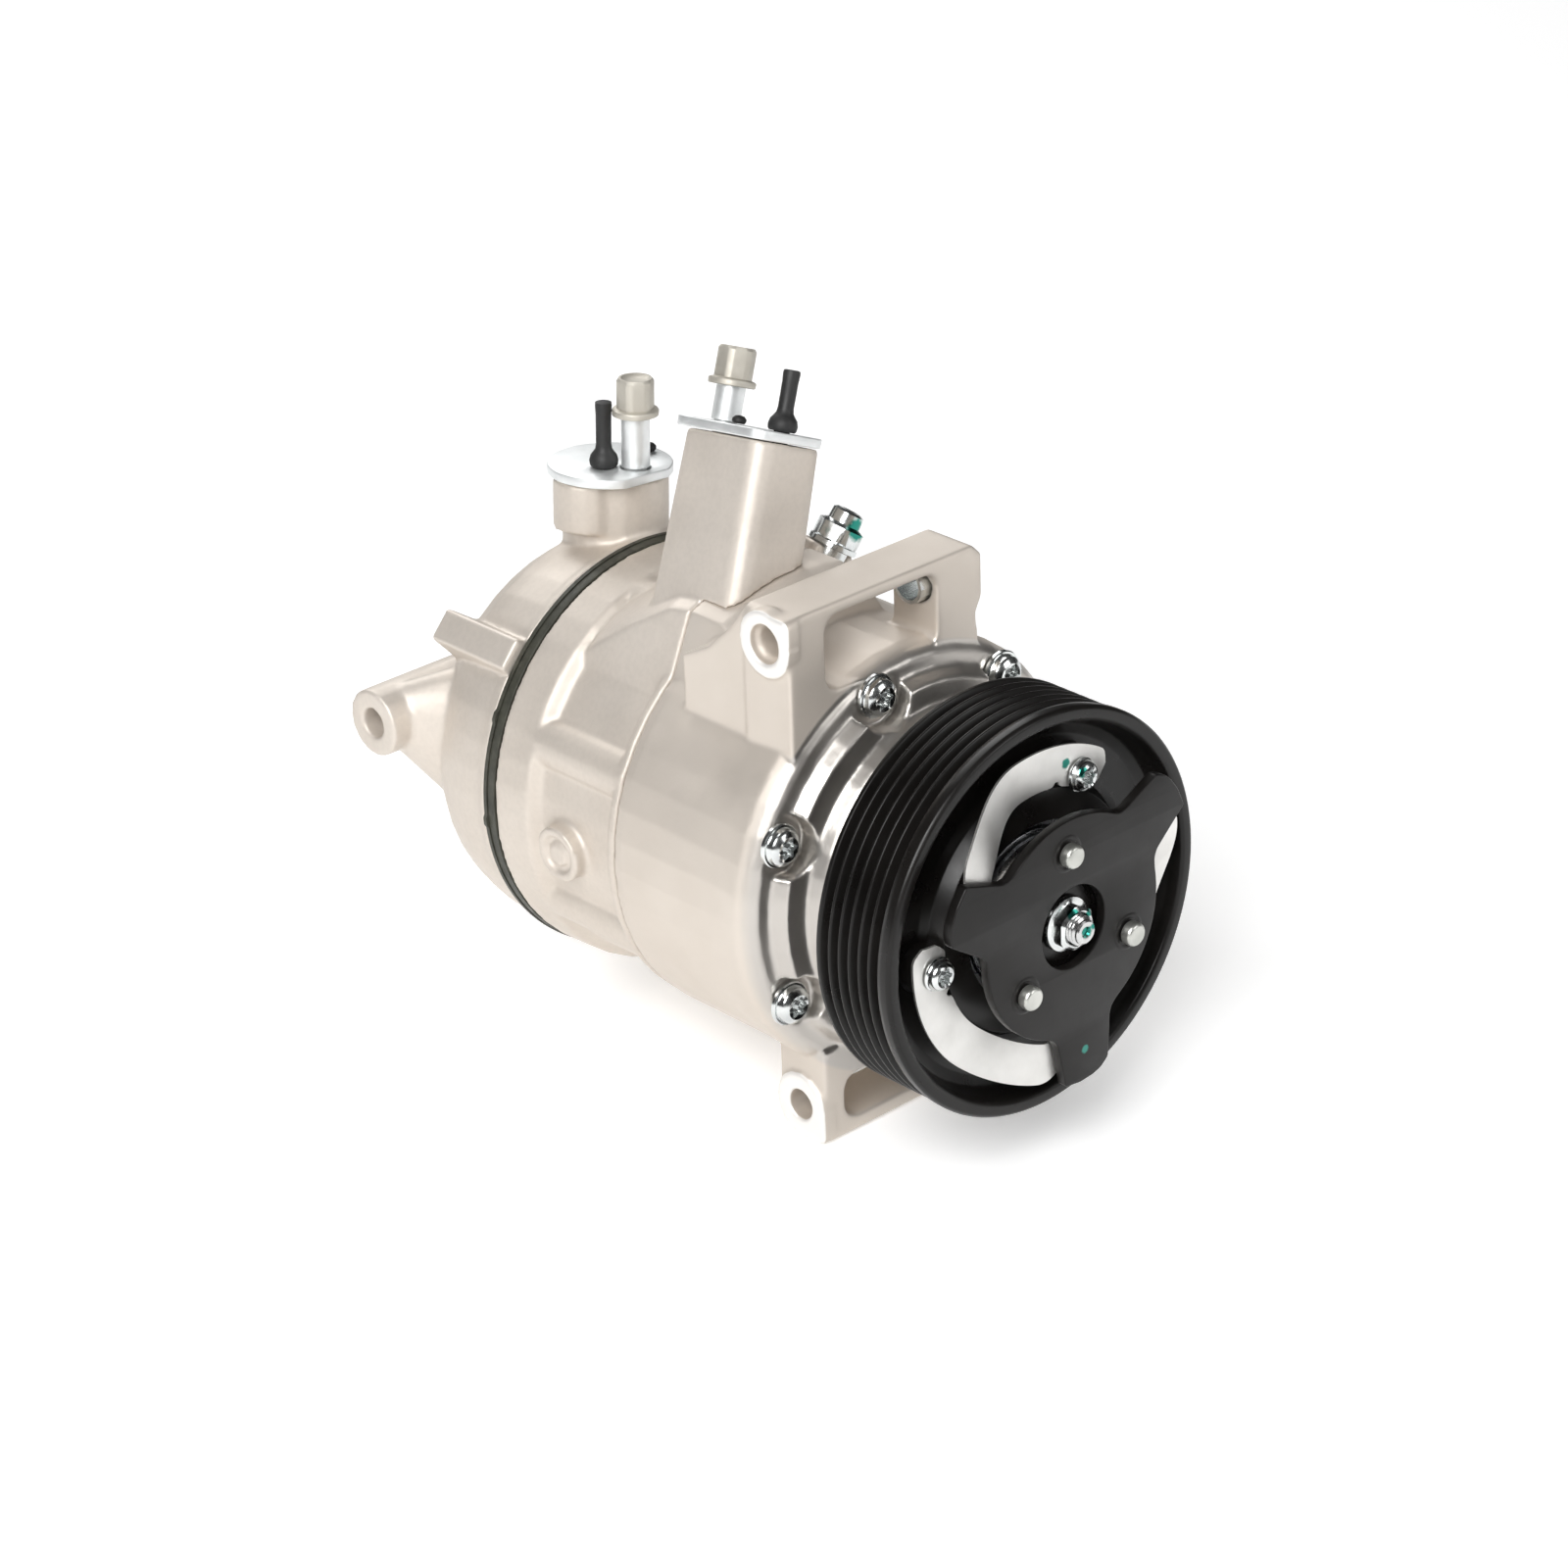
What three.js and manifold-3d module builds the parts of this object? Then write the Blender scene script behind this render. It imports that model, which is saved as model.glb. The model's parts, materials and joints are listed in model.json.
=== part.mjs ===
// Automotive air-conditioning compressor: belt driven, clutchless, variable displacement.
// Millimetres. Y is the shaft axis: the pulley is at low Y and the rear housing at high Y.
// Z is up, and the mounting bolts run along X. The origin is the centre of the shaft's front end.
import * as THREE from "three";
import { mergeVertices } from "three/addons/utils/BufferGeometryUtils.js";
import Module from "manifold-3d";

const wasm = await Module();
wasm.setup();

// ---------------------------------------------------------------- driving dimensions
const GAP = 0.3;                // space kept between touching pieces

const BODY_R = 58.8;            // front housing barrel
const BLOCK_R = 58.4;           // lands of the cylinder block
const POCKET_R = 55.3;          // pocketed waist of the cylinder block
const SEAT_Y = 61.4;            // seat of the through-bolt heads
const SEAM_Y = 114.1;           // joint of front housing and cylinder block
const BLOCK_END_Y = 161.9;      // rear face of the cylinder block
const HEAD_Y = 166.4;           // front face of the rear housing
const REAR_Y = 200.5;           // rear face of the rear housing

const BOLTS = 7;                // through-bolts, with a cylinder between each pair
const BOLT_PCR = 52.9;
const BOLT_ANGLE = 53.4;        // of the first bolt, degrees from +X towards +Z
const BOLT_R = 3;
const BOLT_END_Y = 174;
const BOLT_HOLE_R = 3.4;
const BOLT_PITCH = 360 / BOLTS;

const BORE_PCR = 38.5;
const BORE_R = 14.65;
const PISTON_R = 14.3;
const CRANK_R = 51.5;           // crank chamber
const CRANK_Y = 66;

const SWASH_Y = 107;            // middle of the swash plate at rest
const SWASH_R = 46.5;
const SWASH_T = 6;
const SHOE_GAP = 7.5;           // from the swash plate's middle to a piston's shoe pads

const SHAFT_R = 8;
const PULLEY_R = 55;            // over the belt ribs
const PULLEY_Y = 14.6;
const PULLEY_END_Y = 41.5;
const RIB_PITCH = 3.56;
const RIB_GROOVES = 6;

const SPRING_R = 36.8;          // screws that hold the leaf springs to the pulley
const SPRING_ANGLE = 65.5;
const RIVET_R = 21.7;
const RIVET_ANGLE = 96;
const ARM_ANGLE = 36;
const PLATE_Y = 4.4;            // front of the drive plate
const PLATE_T = 3;

const EAR_HOLE_R = 4.3;         // M8 mounting bolts
const EAR_UPPER = [70.8, 71.7]; // bolt axis in Y and Z
const EAR_LOWER = [68.9, -62.2];
const EAR_REAR = [206.1, 13.3];
const EAR_FAR_X = 27;
const EAR_FACE_R = 9.1;         // machined faces round the bolt holes
const SADDLE_R = 69;            // raised saddle under the discharge tower
const SADDLE_FOOT = [-38, 20];  // its sides lean in from these X, at Z 40
const SADDLE_TOP = [-21, 12];   // to these X, at Z 80

// ---------------------------------------------------------------- helpers
const DEG = Math.PI / 180;
const polar = (radius, degrees) => [radius * Math.cos(degrees * DEG), radius * Math.sin(degrees * DEG)];
const count = (n) => Array.from({ length: n }, (_, k) => k);

// A closed three.js geometry becomes a manifold solid with its faces pointing out.
function solid(geometry) {
  const bare = geometry.clone();
  bare.deleteAttribute("normal");
  bare.deleteAttribute("uv");
  const merged = mergeVertices(bare, 1e-4);
  const points = merged.attributes.position.array;
  const index = merged.index.array;
  const triangles = [];
  let volume = 0;
  for (let i = 0; i < index.length; i += 3) {
    const [a, b, c] = [index[i], index[i + 1], index[i + 2]];
    if (a === b || b === c || c === a) continue;
    triangles.push(a, b, c);
    const [p, q, r] = [a, b, c].map((v) => new THREE.Vector3().fromArray(points, v * 3));
    volume += p.dot(q.cross(r));
  }
  if (volume < 0) triangles.reverse();
  const mesh = new wasm.Mesh({
    numProp: 3,
    vertProperties: new Float32Array(points),
    triVerts: new Uint32Array(triangles),
  });
  return new wasm.Manifold(mesh);
}

function geometryOf(manifold) {
  const mesh = manifold.getMesh();
  const geometry = new THREE.BufferGeometry();
  geometry.setAttribute("position", new THREE.BufferAttribute(new Float32Array(mesh.vertProperties), 3));
  geometry.setIndex(new THREE.BufferAttribute(new Uint32Array(mesh.triVerts), 1));
  geometry.computeVertexNormals();
  return geometry;
}

const joined = (...parts) => parts.reduce((sum, part) => sum.add(part));
const cut = (body, ...tools) => tools.reduce((rest, tool) => rest.subtract(tool), body);

// A body of revolution about Y. The profile is [radius, y]; a ring's profile closes on itself.
function turned(profile, segments = 48) {
  const points = profile.map(([r, y]) => new THREE.Vector2(r, y));
  const onAxis = profile[0][0] === 0 && profile[profile.length - 1][0] === 0;
  if (!onAxis) points.push(points[0].clone());
  return solid(new THREE.LatheGeometry(points, segments));
}
const disc = (r, y0, y1, segments) => turned([[0, y0], [r, y0], [r, y1], [0, y1]], segments);
const ring = (ri, ro, y0, y1, segments) => turned([[ri, y0], [ro, y0], [ro, y1], [ri, y1]], segments);

const TO_X = new THREE.Matrix4().makeBasis(
  new THREE.Vector3(0, 1, 0), new THREE.Vector3(0, 0, 1), new THREE.Vector3(1, 0, 0));
const TO_Y = new THREE.Matrix4().makeRotationX(Math.PI / 2);

// Prisms: the outline is in (y, z) along X, in (x, z) along Y, and in (x, y) along Z.
const extruded = (shape, depth) => new THREE.ExtrudeGeometry(shape, { depth, bevelEnabled: false });
const alongX = (shape, x0, x1) => solid(extruded(shape, x1 - x0).applyMatrix4(TO_X).translate(x0, 0, 0));
const alongY = (shape, y0, y1) => solid(extruded(shape, y1 - y0).applyMatrix4(TO_Y).translate(0, y1, 0));
const alongZ = (shape, z0, z1) => solid(extruded(shape, z1 - z0).translate(0, 0, z0));

function outline(points) {
  const shape = new THREE.Shape();
  points.forEach(([a, b], k) => (k ? shape.lineTo(a, b) : shape.moveTo(a, b)));
  shape.closePath();
  return shape;
}
// Corners are arcs of a few straight steps.
function roundedRect(a0, a1, b0, b1, r, steps = 3) {
  const corners = [[a1 - r, b0 + r, -90], [a1 - r, b1 - r, 0], [a0 + r, b1 - r, 90], [a0 + r, b0 + r, 180]];
  return outline(corners.flatMap(([a, b, from]) => count(steps + 1).map((k) => {
    const [da, db] = polar(r, from + (90 * k) / steps);
    return [a + da, b + db];
  })));
}
const circle = (a, b, r, sides) => outline(count(sides).map((k) => {
  const [da, db] = polar(r, (360 * k) / sides);
  return [a + da, b + db];
}));
function hexagon(acrossFlats) {
  const r = acrossFlats / Math.sqrt(3);
  return outline(count(6).map((k) => polar(r, k * 60 + 30)));
}

const rodX = (r, x0, x1, y, z, sides = 16) => alongX(circle(y, z, r, sides), x0, x1);
const rodY = (r, y0, y1, x, z, sides = 16) => alongY(circle(x, z, r, sides), y0, y1);
const rodZ = (r, z0, z1, x, y, sides = 16) => alongZ(circle(x, y, r, sides), z0, z1);

// One rod at each through-bolt, parallel to the shaft.
function boltRods(r, y0, y1, sides = 10) {
  return joined(...count(BOLTS).map((k) => {
    const [x, z] = polar(BOLT_PCR, BOLT_ANGLE + k * BOLT_PITCH);
    return rodY(r, y0, y1, x, z, sides);
  }));
}

// A frame whose local Z points along an axis, at a point, for tilted ports and fittings.
function tiltedFrame(point, axis, sideways) {
  const z = new THREE.Vector3(...axis).normalize();
  const x = new THREE.Vector3(...sideways);
  x.addScaledVector(z, -x.dot(z)).normalize();
  const y = new THREE.Vector3().crossVectors(z, x);
  return new THREE.Matrix4().makeBasis(x, y, z).setPosition(...point);
}
const placed = (manifold, frame) => solid(geometryOf(manifold).applyMatrix4(frame));

// ---------------------------------------------------------------- finishes
const finish = (color, roughness, metalness) =>
  new THREE.MeshStandardMaterial({ color, roughness, metalness });
const CAST = finish(0xd2cac0, 0.55, 0.6);
const CAST_BRIGHT = finish(0xc9c3bb, 0.4, 0.8);
const STEEL = finish(0xb9bcbd, 0.3, 1);
const ZINC = finish(0xd9dcda, 0.3, 1);
const DULL_ZINC = finish(0xbab5a9, 0.45, 0.8);
const SPRING_STEEL = finish(0xcfccc6, 0.35, 0.9);
const BLACK_COAT = finish(0x1c1a19, 0.35, 0.3);
const RUBBER = finish(0x161616, 0.7, 0);
const GASKET = finish(0x34342c, 0.7, 0.1);

const compressor = new THREE.Group();
const drive = new THREE.Group();
compressor.add(drive);

function piece(parent, name, manifold, material) {
  const mesh = new THREE.Mesh(geometryOf(manifold), material);
  mesh.name = name;
  parent.add(mesh);
  return mesh;
}

// ---------------------------------------------------------------- front housing
// Part of a body of revolution about the shaft, kept only above the top of the barrel.
function saddle(profile) {
  const [footFrom, footTo] = SADDLE_FOOT;
  const [topFrom, topTo] = SADDLE_TOP;
  const section = outline([[footFrom, 40], [topFrom, 80], [topTo, 80], [footTo, 40]]);
  return turned(profile, 60).intersect(alongY(section, SEAM_Y - 40, SEAM_Y + 40));
}

// A mounting bar stands across the barrel: two ears, a thin bridge and a window between them.
function mountingBar({ nearX, top, side, bridge, axis, front, back, root }) {
  const up = Math.sign(top);
  const bar = outline([
    [nearX, root * up], [nearX, top - 2 * up], [nearX + 2, top], [EAR_FAR_X - 3, top],
    [EAR_FAR_X, top - 3 * up], [EAR_FAR_X, top - 15 * up], [EAR_FAR_X - 2.2, top - 19 * up],
    [EAR_FAR_X, root * up]]);
  const inner = (up > 0) ? [side * up, top - bridge] : [top + bridge, side * up];
  const window = roundedRect(-28.5, 11, Math.min(...inner), Math.max(...inner), 4, 2);
  const body = cut(alongY(bar, front, back), alongY(window, front - 1, back + 1));
  const [y, z] = axis;
  const nearFace = joined(
    rodX(EAR_FACE_R, nearX - 1.4, nearX + 3, y, z, 16),
    alongX(roundedRect(y - EAR_FACE_R, y, Math.min(z, top), Math.max(z, top), 2), nearX - 1.4, nearX + 3));
  return joined(body, nearFace);
}
const UPPER_BAR = {
  nearX: -41, top: 80, side: 56, bridge: 3.2, axis: EAR_UPPER, front: 62.6, back: 79.6, root: 40,
};
const LOWER_BAR = {
  nearX: -35.6, top: -71.3, side: 54, bridge: 4.5, axis: EAR_LOWER, front: 60.2, back: 77.4, root: 44,
};

function frontHousing() {
  const barrel = turned([
    [0, 16.5], [17.4, 16.5], [17.4, 46.5], [22, 46.8], [38, 48.5], [43.4, 51],
    [45, 55.6], [50.6, 56.4], [52.6, 60.8], [56.4, SEAT_Y], [58.2, 63.6], [BODY_R + 0.6, 67],
    [BODY_R, 78], [BODY_R, SEAM_Y - 3], [BLOCK_R, SEAM_Y - 1.5], [BLOCK_R, SEAM_Y], [0, SEAM_Y]], 44);
  // The upper near ear runs back down to the barrel.
  const ramp = outline([[70, 40], [70, 79.6], [79, 79.4], [86, 71], [94, 63.5], [104, 58.2], [104, 40]]);
  const top = saddle([
    [0, 87], [BODY_R - 2, 87], [SADDLE_R - 3, 93], [SADDLE_R, 102], [SADDLE_R, SEAM_Y], [0, SEAM_Y]]);
  const castings = joined(barrel, mountingBar(UPPER_BAR), mountingBar(LOWER_BAR), top,
    alongX(ramp, -40.4, -29.5));

  const crank = cut(disc(CRANK_R, CRANK_Y, SEAM_Y + 1, 36), boltRods(6, CRANK_Y - 1, SEAM_Y + 2, 10));
  const noseBore = turned([
    [0, 15], [13, 15], [13, 44], [9.5, 44], [9.5, 50], [12.3, 50], [12.3, CRANK_Y + 1],
    [0, CRANK_Y + 1]], 24);
  const clipGroove = ring(16.3, 19, 18.1, 19.5, 24);
  const pockets = boltRods(8.6, 48, SEAT_Y, 14);
  const [uy, uz] = EAR_UPPER;
  const [ly, lz] = EAR_LOWER;
  return cut(castings, crank, noseBore, clipGroove, pockets, boltRods(BOLT_HOLE_R, SEAT_Y - 1, SEAM_Y + 1),
    rodX(EAR_HOLE_R, -50, 40, uy, uz), rodX(5.35, -50, -39.4, uy, uz), rodX(5.6, 5, 40, uy, uz),
    rodX(EAR_HOLE_R, -50, 40, ly, lz), rodX(5.6, 5, 40, ly, lz));
}

// ---------------------------------------------------------------- ports
const DISCHARGE = tiltedFrame([5.6, 125.8, 101], [0.392, 0.125, 0.911], [1, 0, 0]);
const SUCTION = tiltedFrame([4.5, 182, 76], [0.08, 0.032, 0.996], [1, 0, 0]);
const PORT_PLATE_T = 2.6;
const DISCHARGE_BOLT = [0, 10];  // positions on each port plate
const DISCHARGE_PLUG = [0, -12];
const DISCHARGE_VENT = [-3, 1.5];
const SUCTION_BOLT = [2, -8.2];
const SUCTION_PLUG = [-4.5, -2.6];
const SUCTION_VENT = [13.6, -0.6];

// The discharge tower tapers towards its plate, so its walls are moved out as they go down.
function dischargeTower() {
  const height = 47;
  const tower = extruded(roundedRect(-11.5, 11.5, -17.3, 14, 4.5), height);
  tower.translate(0, 0, -height - PORT_PLATE_T - GAP);
  const points = tower.attributes.position;
  for (let i = 0; i < points.count; i += 1) {
    const grow = 1 + 0.09 * (-points.getZ(i) / height);
    points.setXY(i, points.getX(i) * grow, points.getY(i) * grow);
  }
  tower.applyMatrix4(DISCHARGE);
  return solid(tower);
}

function reliefValveFrame(along) {
  const axis = new THREE.Vector3(0.55, -0.12, 0.83).normalize();
  const point = new THREE.Vector3(16, 119, 50).addScaledVector(axis, along);
  return tiltedFrame(point.toArray(), axis.toArray(), [0, 1, 0]);
}

// ---------------------------------------------------------------- cylinder block
function cylinderBlock() {
  const core = turned([
    [0, SEAM_Y + GAP], [BLOCK_R, SEAM_Y + GAP], [BLOCK_R, 117], [POCKET_R, 118.6], [POCKET_R, 146.5],
    [BLOCK_R, 149.5], [BLOCK_R + 0.4, BLOCK_END_Y], [0, BLOCK_END_Y]], 44);
  const bosses = joined(...count(BOLTS).map((k) => {
    const [x, z] = polar(BOLT_PCR - 2, BOLT_ANGLE + k * BOLT_PITCH);
    return rodY(7.8, SEAM_Y + GAP, 150, x, z, 16);
  }));
  const sideways = tiltedFrame([0, 136.4, 0], [-1, 0, -0.07], [0, 1, 0]);
  const plugBoss = placed(rodZ(7.6, 48, 57.9, 0, 0, 20), sideways);
  const valveBoss = placed(rodZ(8, 0, 16, 0, 0, 12), reliefValveFrame(0));
  const frontClear = disc(SADDLE_R + GAP, 60, SEAM_Y + GAP, 60);
  const tower = cut(joined(dischargeTower(), valveBoss), frontClear, disc(45, 90, 160, 32));
  const foot = saddle([
    [0, SEAM_Y + GAP], [SADDLE_R, SEAM_Y + GAP], [SADDLE_R - 1, 122], [POCKET_R + 2, 147], [0, 147]]);
  const body = joined(core, bosses, plugBoss, tower, foot);

  const bores = count(BOLTS).map((k) => {
    const [x, z] = polar(BORE_PCR, BOLT_ANGLE + (k + 0.5) * BOLT_PITCH);
    return rodY(BORE_R, SEAM_Y - 1, BLOCK_END_Y + 1, x, z, 20);
  });
  const shaftBore = turned([
    [0, SEAM_Y - 1], [8.6, SEAM_Y - 1], [8.6, 130], [12.3, 130], [12.3, 150], [6, 150],
    [6, BLOCK_END_Y + 1], [0, BLOCK_END_Y + 1]], 24);
  const portBore = placed(rodZ(7, -22, 1, 0, -8.6, 12), DISCHARGE);
  const boltBore = placed(rodZ(3.4, -16, 1, ...DISCHARGE_BOLT, 8), DISCHARGE);
  const valveBore = placed(rodZ(5.2, 8, 17, 0, 0, 10), reliefValveFrame(0));
  return cut(body, ...bores, shaftBore, boltRods(BOLT_HOLE_R, SEAM_Y - 1, BLOCK_END_Y + 1),
    portBore, boltBore, valveBore);
}

// ---------------------------------------------------------------- rear housing
// A cone that leans from the rear ear into the side of the housing.
function earWeb() {
  const [earY, earZ] = EAR_REAR;
  const [tipX, footX] = [-57.5, -38];
  const cone = new THREE.CylinderGeometry(8.6, 28, footX - tipX, 24);
  const points = cone.attributes.position;
  for (let i = 0; i < points.count; i += 1) {
    const down = 0.5 - points.getY(i) / (footX - tipX);
    const y = earY - 1 - 21 * down + points.getX(i) * (1 - 0.3 * down);
    const z = earZ - 11 * down + points.getZ(i);
    points.setXYZ(i, tipX + down * (footX - tipX), y, z);
  }
  return solid(cone);
}
function rearHousing() {
  const shell = turned([
    [0, HEAD_Y], [BLOCK_R + 0.4, HEAD_Y], [BLOCK_R + 0.2, HEAD_Y + 2], [57.8, HEAD_Y + 4], [57.4, 177],
    [56.4, 183], [54.6, 189], [50, 196], [42, REAR_Y], [0, REAR_Y]], 44);
  const [lugX, lugZ] = polar(1, 139);
  const lug = outline([
    [46 * lugX + 6.5 * lugZ, 46 * lugZ - 6.5 * lugX], [61.8 * lugX + 4.6 * lugZ, 61.8 * lugZ - 4.6 * lugX],
    [61.8 * lugX - 4.6 * lugZ, 61.8 * lugZ + 4.6 * lugX], [46 * lugX - 6.5 * lugZ, 46 * lugZ + 6.5 * lugX]]);
  const [earY, earZ] = EAR_REAR;
  const earBoss = rodX(9.6, -64, -30, earY, earZ, 16);
  const portBoss = placed(joined(
    rodZ(14.6, -34, -PORT_PLATE_T - GAP, 2.2, 0.4, 24),
    rodZ(10.2, -17, -PORT_PLATE_T - GAP, -6.6, 0.6, 18)), SUCTION);
  const valveTube = rodX(11, 0, 55, 188, -27);
  const body = joined(shell, alongY(lug, HEAD_Y, 196.6), portBoss, earBoss, earWeb(), valveTube);

  const suctionRoom = cut(ring(30, 49, HEAD_Y - 1, 186, 28), boltRods(6, HEAD_Y - 2, 190, 8));
  const dischargeRoom = disc(26, HEAD_Y - 1, 184, 20);
  const suctionBore = placed(joined(rodZ(7.2, -17, 1, -5, 0), rodZ(5.2, -36, -16, -3, 0)), SUCTION);
  const boltBore = placed(rodZ(3.4, -18, 1, ...SUCTION_BOLT, 8), SUCTION);
  return cut(body, disc(90, HEAD_Y - 10, HEAD_Y, 8), suctionRoom, dischargeRoom, suctionBore, boltBore,
    boltRods(BOLT_HOLE_R, HEAD_Y - 1, BOLT_END_Y + 1), rodX(EAR_HOLE_R, -70, -20, earY, earZ),
    rodX(8, 12, 56, 188, -27, 14));
}

// ---------------------------------------------------------------- head plates and through-bolts
const GASKET_R = BLOCK_R + 0.7;
function headPlate(r, y0, y1, portR) {
  const ports = count(BOLTS).map((k) => {
    const [x, z] = polar(BORE_PCR, BOLT_ANGLE + (k + 0.5) * BOLT_PITCH);
    return rodY(portR, y0 - 1, y1 + 1, x, z, 6);
  });
  const plate = cut(disc(r, y0, y1, 28), ...ports);
  return (r > BOLT_PCR) ? cut(plate, boltRods(BOLT_HOLE_R, y0 - 1, y1 + 1, 8)) : plate;
}

const headGasket = () => cut(ring(49, GASKET_R, 164.9, 166.1, 36), boltRods(BOLT_HOLE_R, 164, 167, 8));

const SOCKET_R = 2.6;
function throughBolt() {
  const body = turned([
    [0, SEAT_Y - 4.2], [3.6, SEAT_Y - 4.1], [5.2, SEAT_Y - 3], [6.2, SEAT_Y - GAP],
    [BOLT_R, SEAT_Y - GAP], [BOLT_R, BOLT_END_Y], [0, BOLT_END_Y]], 12);
  return cut(body, rodY(SOCKET_R, SEAT_Y - 5, SEAT_Y - 2, 0, 0, 6));
}

// ---------------------------------------------------------------- pulley and its drive
function pulleyProfile() {
  const profile = [[51.4, PULLEY_Y], [55.4, PULLEY_Y], [55.4, PULLEY_Y + 3.6]];
  for (const k of count(RIB_GROOVES)) {
    const middle = PULLEY_Y + 4.1 + (k + 0.5) * RIB_PITCH;
    profile.push([PULLEY_R, middle - 1.6], [PULLEY_R - 2.9, middle]);
  }
  profile.push([PULLEY_R, PULLEY_END_Y - 1.8], [PULLEY_R, PULLEY_END_Y], [50.6, PULLEY_END_Y]);
  profile.push([49.5, 26.8], [33.5, 26.8], [33.5, 40.4], [27.7, 40.4], [27.7, 19.6], [24.4, 19.6]);
  profile.push([24.4, 17.6], [33, 17.6], [35, 21.8], [46, 22.6], [50, 20]);
  return profile;
}
function pulley() {
  const pads = count(3).map((k) => {
    const [x, z] = polar(SPRING_R, SPRING_ANGLE + k * 120);
    return rodY(6.4, 17.9, 24, x, z, 10);
  });
  const holes = count(3).map((k) => {
    const [x, z] = polar(SPRING_R, SPRING_ANGLE + k * 120);
    return rodY(3, 17, 30, x, z, 8);
  });
  return cut(joined(turned(pulleyProfile(), 38), ...pads), ...holes);
}

// Black plate in front of the springs, with three wide arms.
function drivePlate() {
  const shape = new THREE.Shape();
  const point = (r, a) => new THREE.Vector2(...polar(r, a));
  for (const k of count(3)) {
    const middle = ARM_ANGLE + k * 120;
    const start = point(30.5, middle - 40);
    if (k === 0) shape.moveTo(start.x, start.y);
    const edge = [[30.5, -25], [31.1, -20], [32.6, -16.7], [35.6, -14.6], [45.4, -10], [46, 0], [45.6, 6.5],
      [44.2, 10.4], [36, 15.2], [32.8, 17.6], [31.2, 20.4], [30.5, 25], [30.5, 40]];
    edge.map(([r, a]) => point(r, middle + a)).forEach((p) => shape.lineTo(p.x, p.y));
  }
  shape.closePath();
  const rivetHoles = count(3).map((k) => {
    const [x, z] = polar(RIVET_R, RIVET_ANGLE + k * 120);
    return rodY(2.5, PLATE_Y - 1, PLATE_Y + PLATE_T + 1, x, z, 8);
  });
  return cut(alongY(shape, PLATE_Y, PLATE_Y + PLATE_T), rodY(11.4, PLATE_Y - 1, PLATE_Y + 5, 0, 0, 20),
    ...rivetHoles);
}

// A leaf spring: a strip wound round the shaft, from its screw on the pulley to its rivet on the plate.
const SPRING_T = 0.8;
const SPRING_OUT_Y = 17.2;      // middle of the strip at the screw
const SPRING_IN_Y = PLATE_Y + PLATE_T + GAP + SPRING_T / 2;
const SPRING_SPAN = 150.5;      // from screw to rivet, degrees
const ease = (t) => {
  const s = Math.min(Math.max(t, 0), 1);
  return s * s * (3 - 2 * s);
};
function leafSpring() {
  const steps = 22;
  const [first, last] = [-12, SPRING_SPAN + 10];
  const strip = new THREE.BoxGeometry(1, 1, 1, steps, 1, 1);
  const points = strip.attributes.position;
  for (let i = 0; i < points.count; i += 1) {
    const s = points.getX(i) + 0.5;
    const angle = first + s * (last - first);
    const inward = 0.8 * ease((angle - 72) / 32) + 0.2 * ease((angle - 104) / 40);
    const middle = 39 + (RIVET_R - 39) * inward;
    const fromEnd = Math.min((angle - first) / 5, (last - angle) / 12, 1);
    const width = (11.2 - 2.4 * inward) * Math.sqrt(Math.max(fromEnd * (2 - fromEnd), 0.12));
    const [x, z] = polar(middle + points.getY(i) * width, angle);
    const lift = ease((angle - 34) / 46);
    points.setXYZ(i, x, SPRING_OUT_Y + (SPRING_IN_Y - SPRING_OUT_Y) * lift + points.getZ(i) * SPRING_T, z);
  }
  const [screwX, screwZ] = polar(SPRING_R, 0);
  const [rivetX, rivetZ] = polar(RIVET_R, SPRING_SPAN);
  return cut(solid(strip), rodY(3, 15, 19, screwX, screwZ, 8), rodY(2.5, 6, 11, rivetX, rivetZ, 8));
}

const HUB_Y = SPRING_IN_Y + SPRING_T / 2 + GAP;
const springScrew = () => cut(
  turned([[0, 13.2], [3, 13.3], [4.2, 14.2], [4.5, 16.5], [2.7, 16.5], [2.7, 26], [0, 26]], 14),
  rodY(1.9, 12, 15, 0, 0, 6));
const rivet = () => turned([
  [0, 0.9], [2.6, 1], [3.2, 1.7], [3.2, PLATE_Y - GAP], [2.2, PLATE_Y - GAP], [2.2, 13], [0, 13]], 14);
const driveHub = () => cut(
  turned([
    [6.8, 8.4], [10.4, 8.4], [10.4, HUB_Y], [26.4, HUB_Y], [26.4, HUB_Y + 2.8], [11.6, 15.5],
    [11.6, 30], [6.8, 30]], 28),
  ...count(3).map((k) => {
    const [x, z] = polar(RIVET_R, RIVET_ANGLE + k * 120);
    return rodY(2.5, 8, 16, x, z, 8);
  }));
const hubNut = () => cut(alongY(hexagon(11.6), 2.6, 8.1), rodY(4.3, 1, 9, 0, 0, 12));
const driveShaft = () => turned([
  [0, 0], [3.4, 0], [4, 0.7], [4, 9.6], [6.4, 10], [6.4, 32], [7.5, 33], [7.5, 63.3], [SHAFT_R, 63.3],
  [SHAFT_R, 145], [0, 145]], 20);
function lugPlate() {
  const lugs = count(2).map((k) => {
    const [x, z] = polar(20, BOLT_ANGLE + BOLT_PITCH + (k ? 24 : -24));
    return rodY(3.4, 70, 79.5, x, z, 8);
  });
  return cut(joined(turned([[8.4, 68.4], [24, 68.4], [24, 75], [14, 76.5], [8.4, 76.5]], 24), ...lugs));
}

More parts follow.
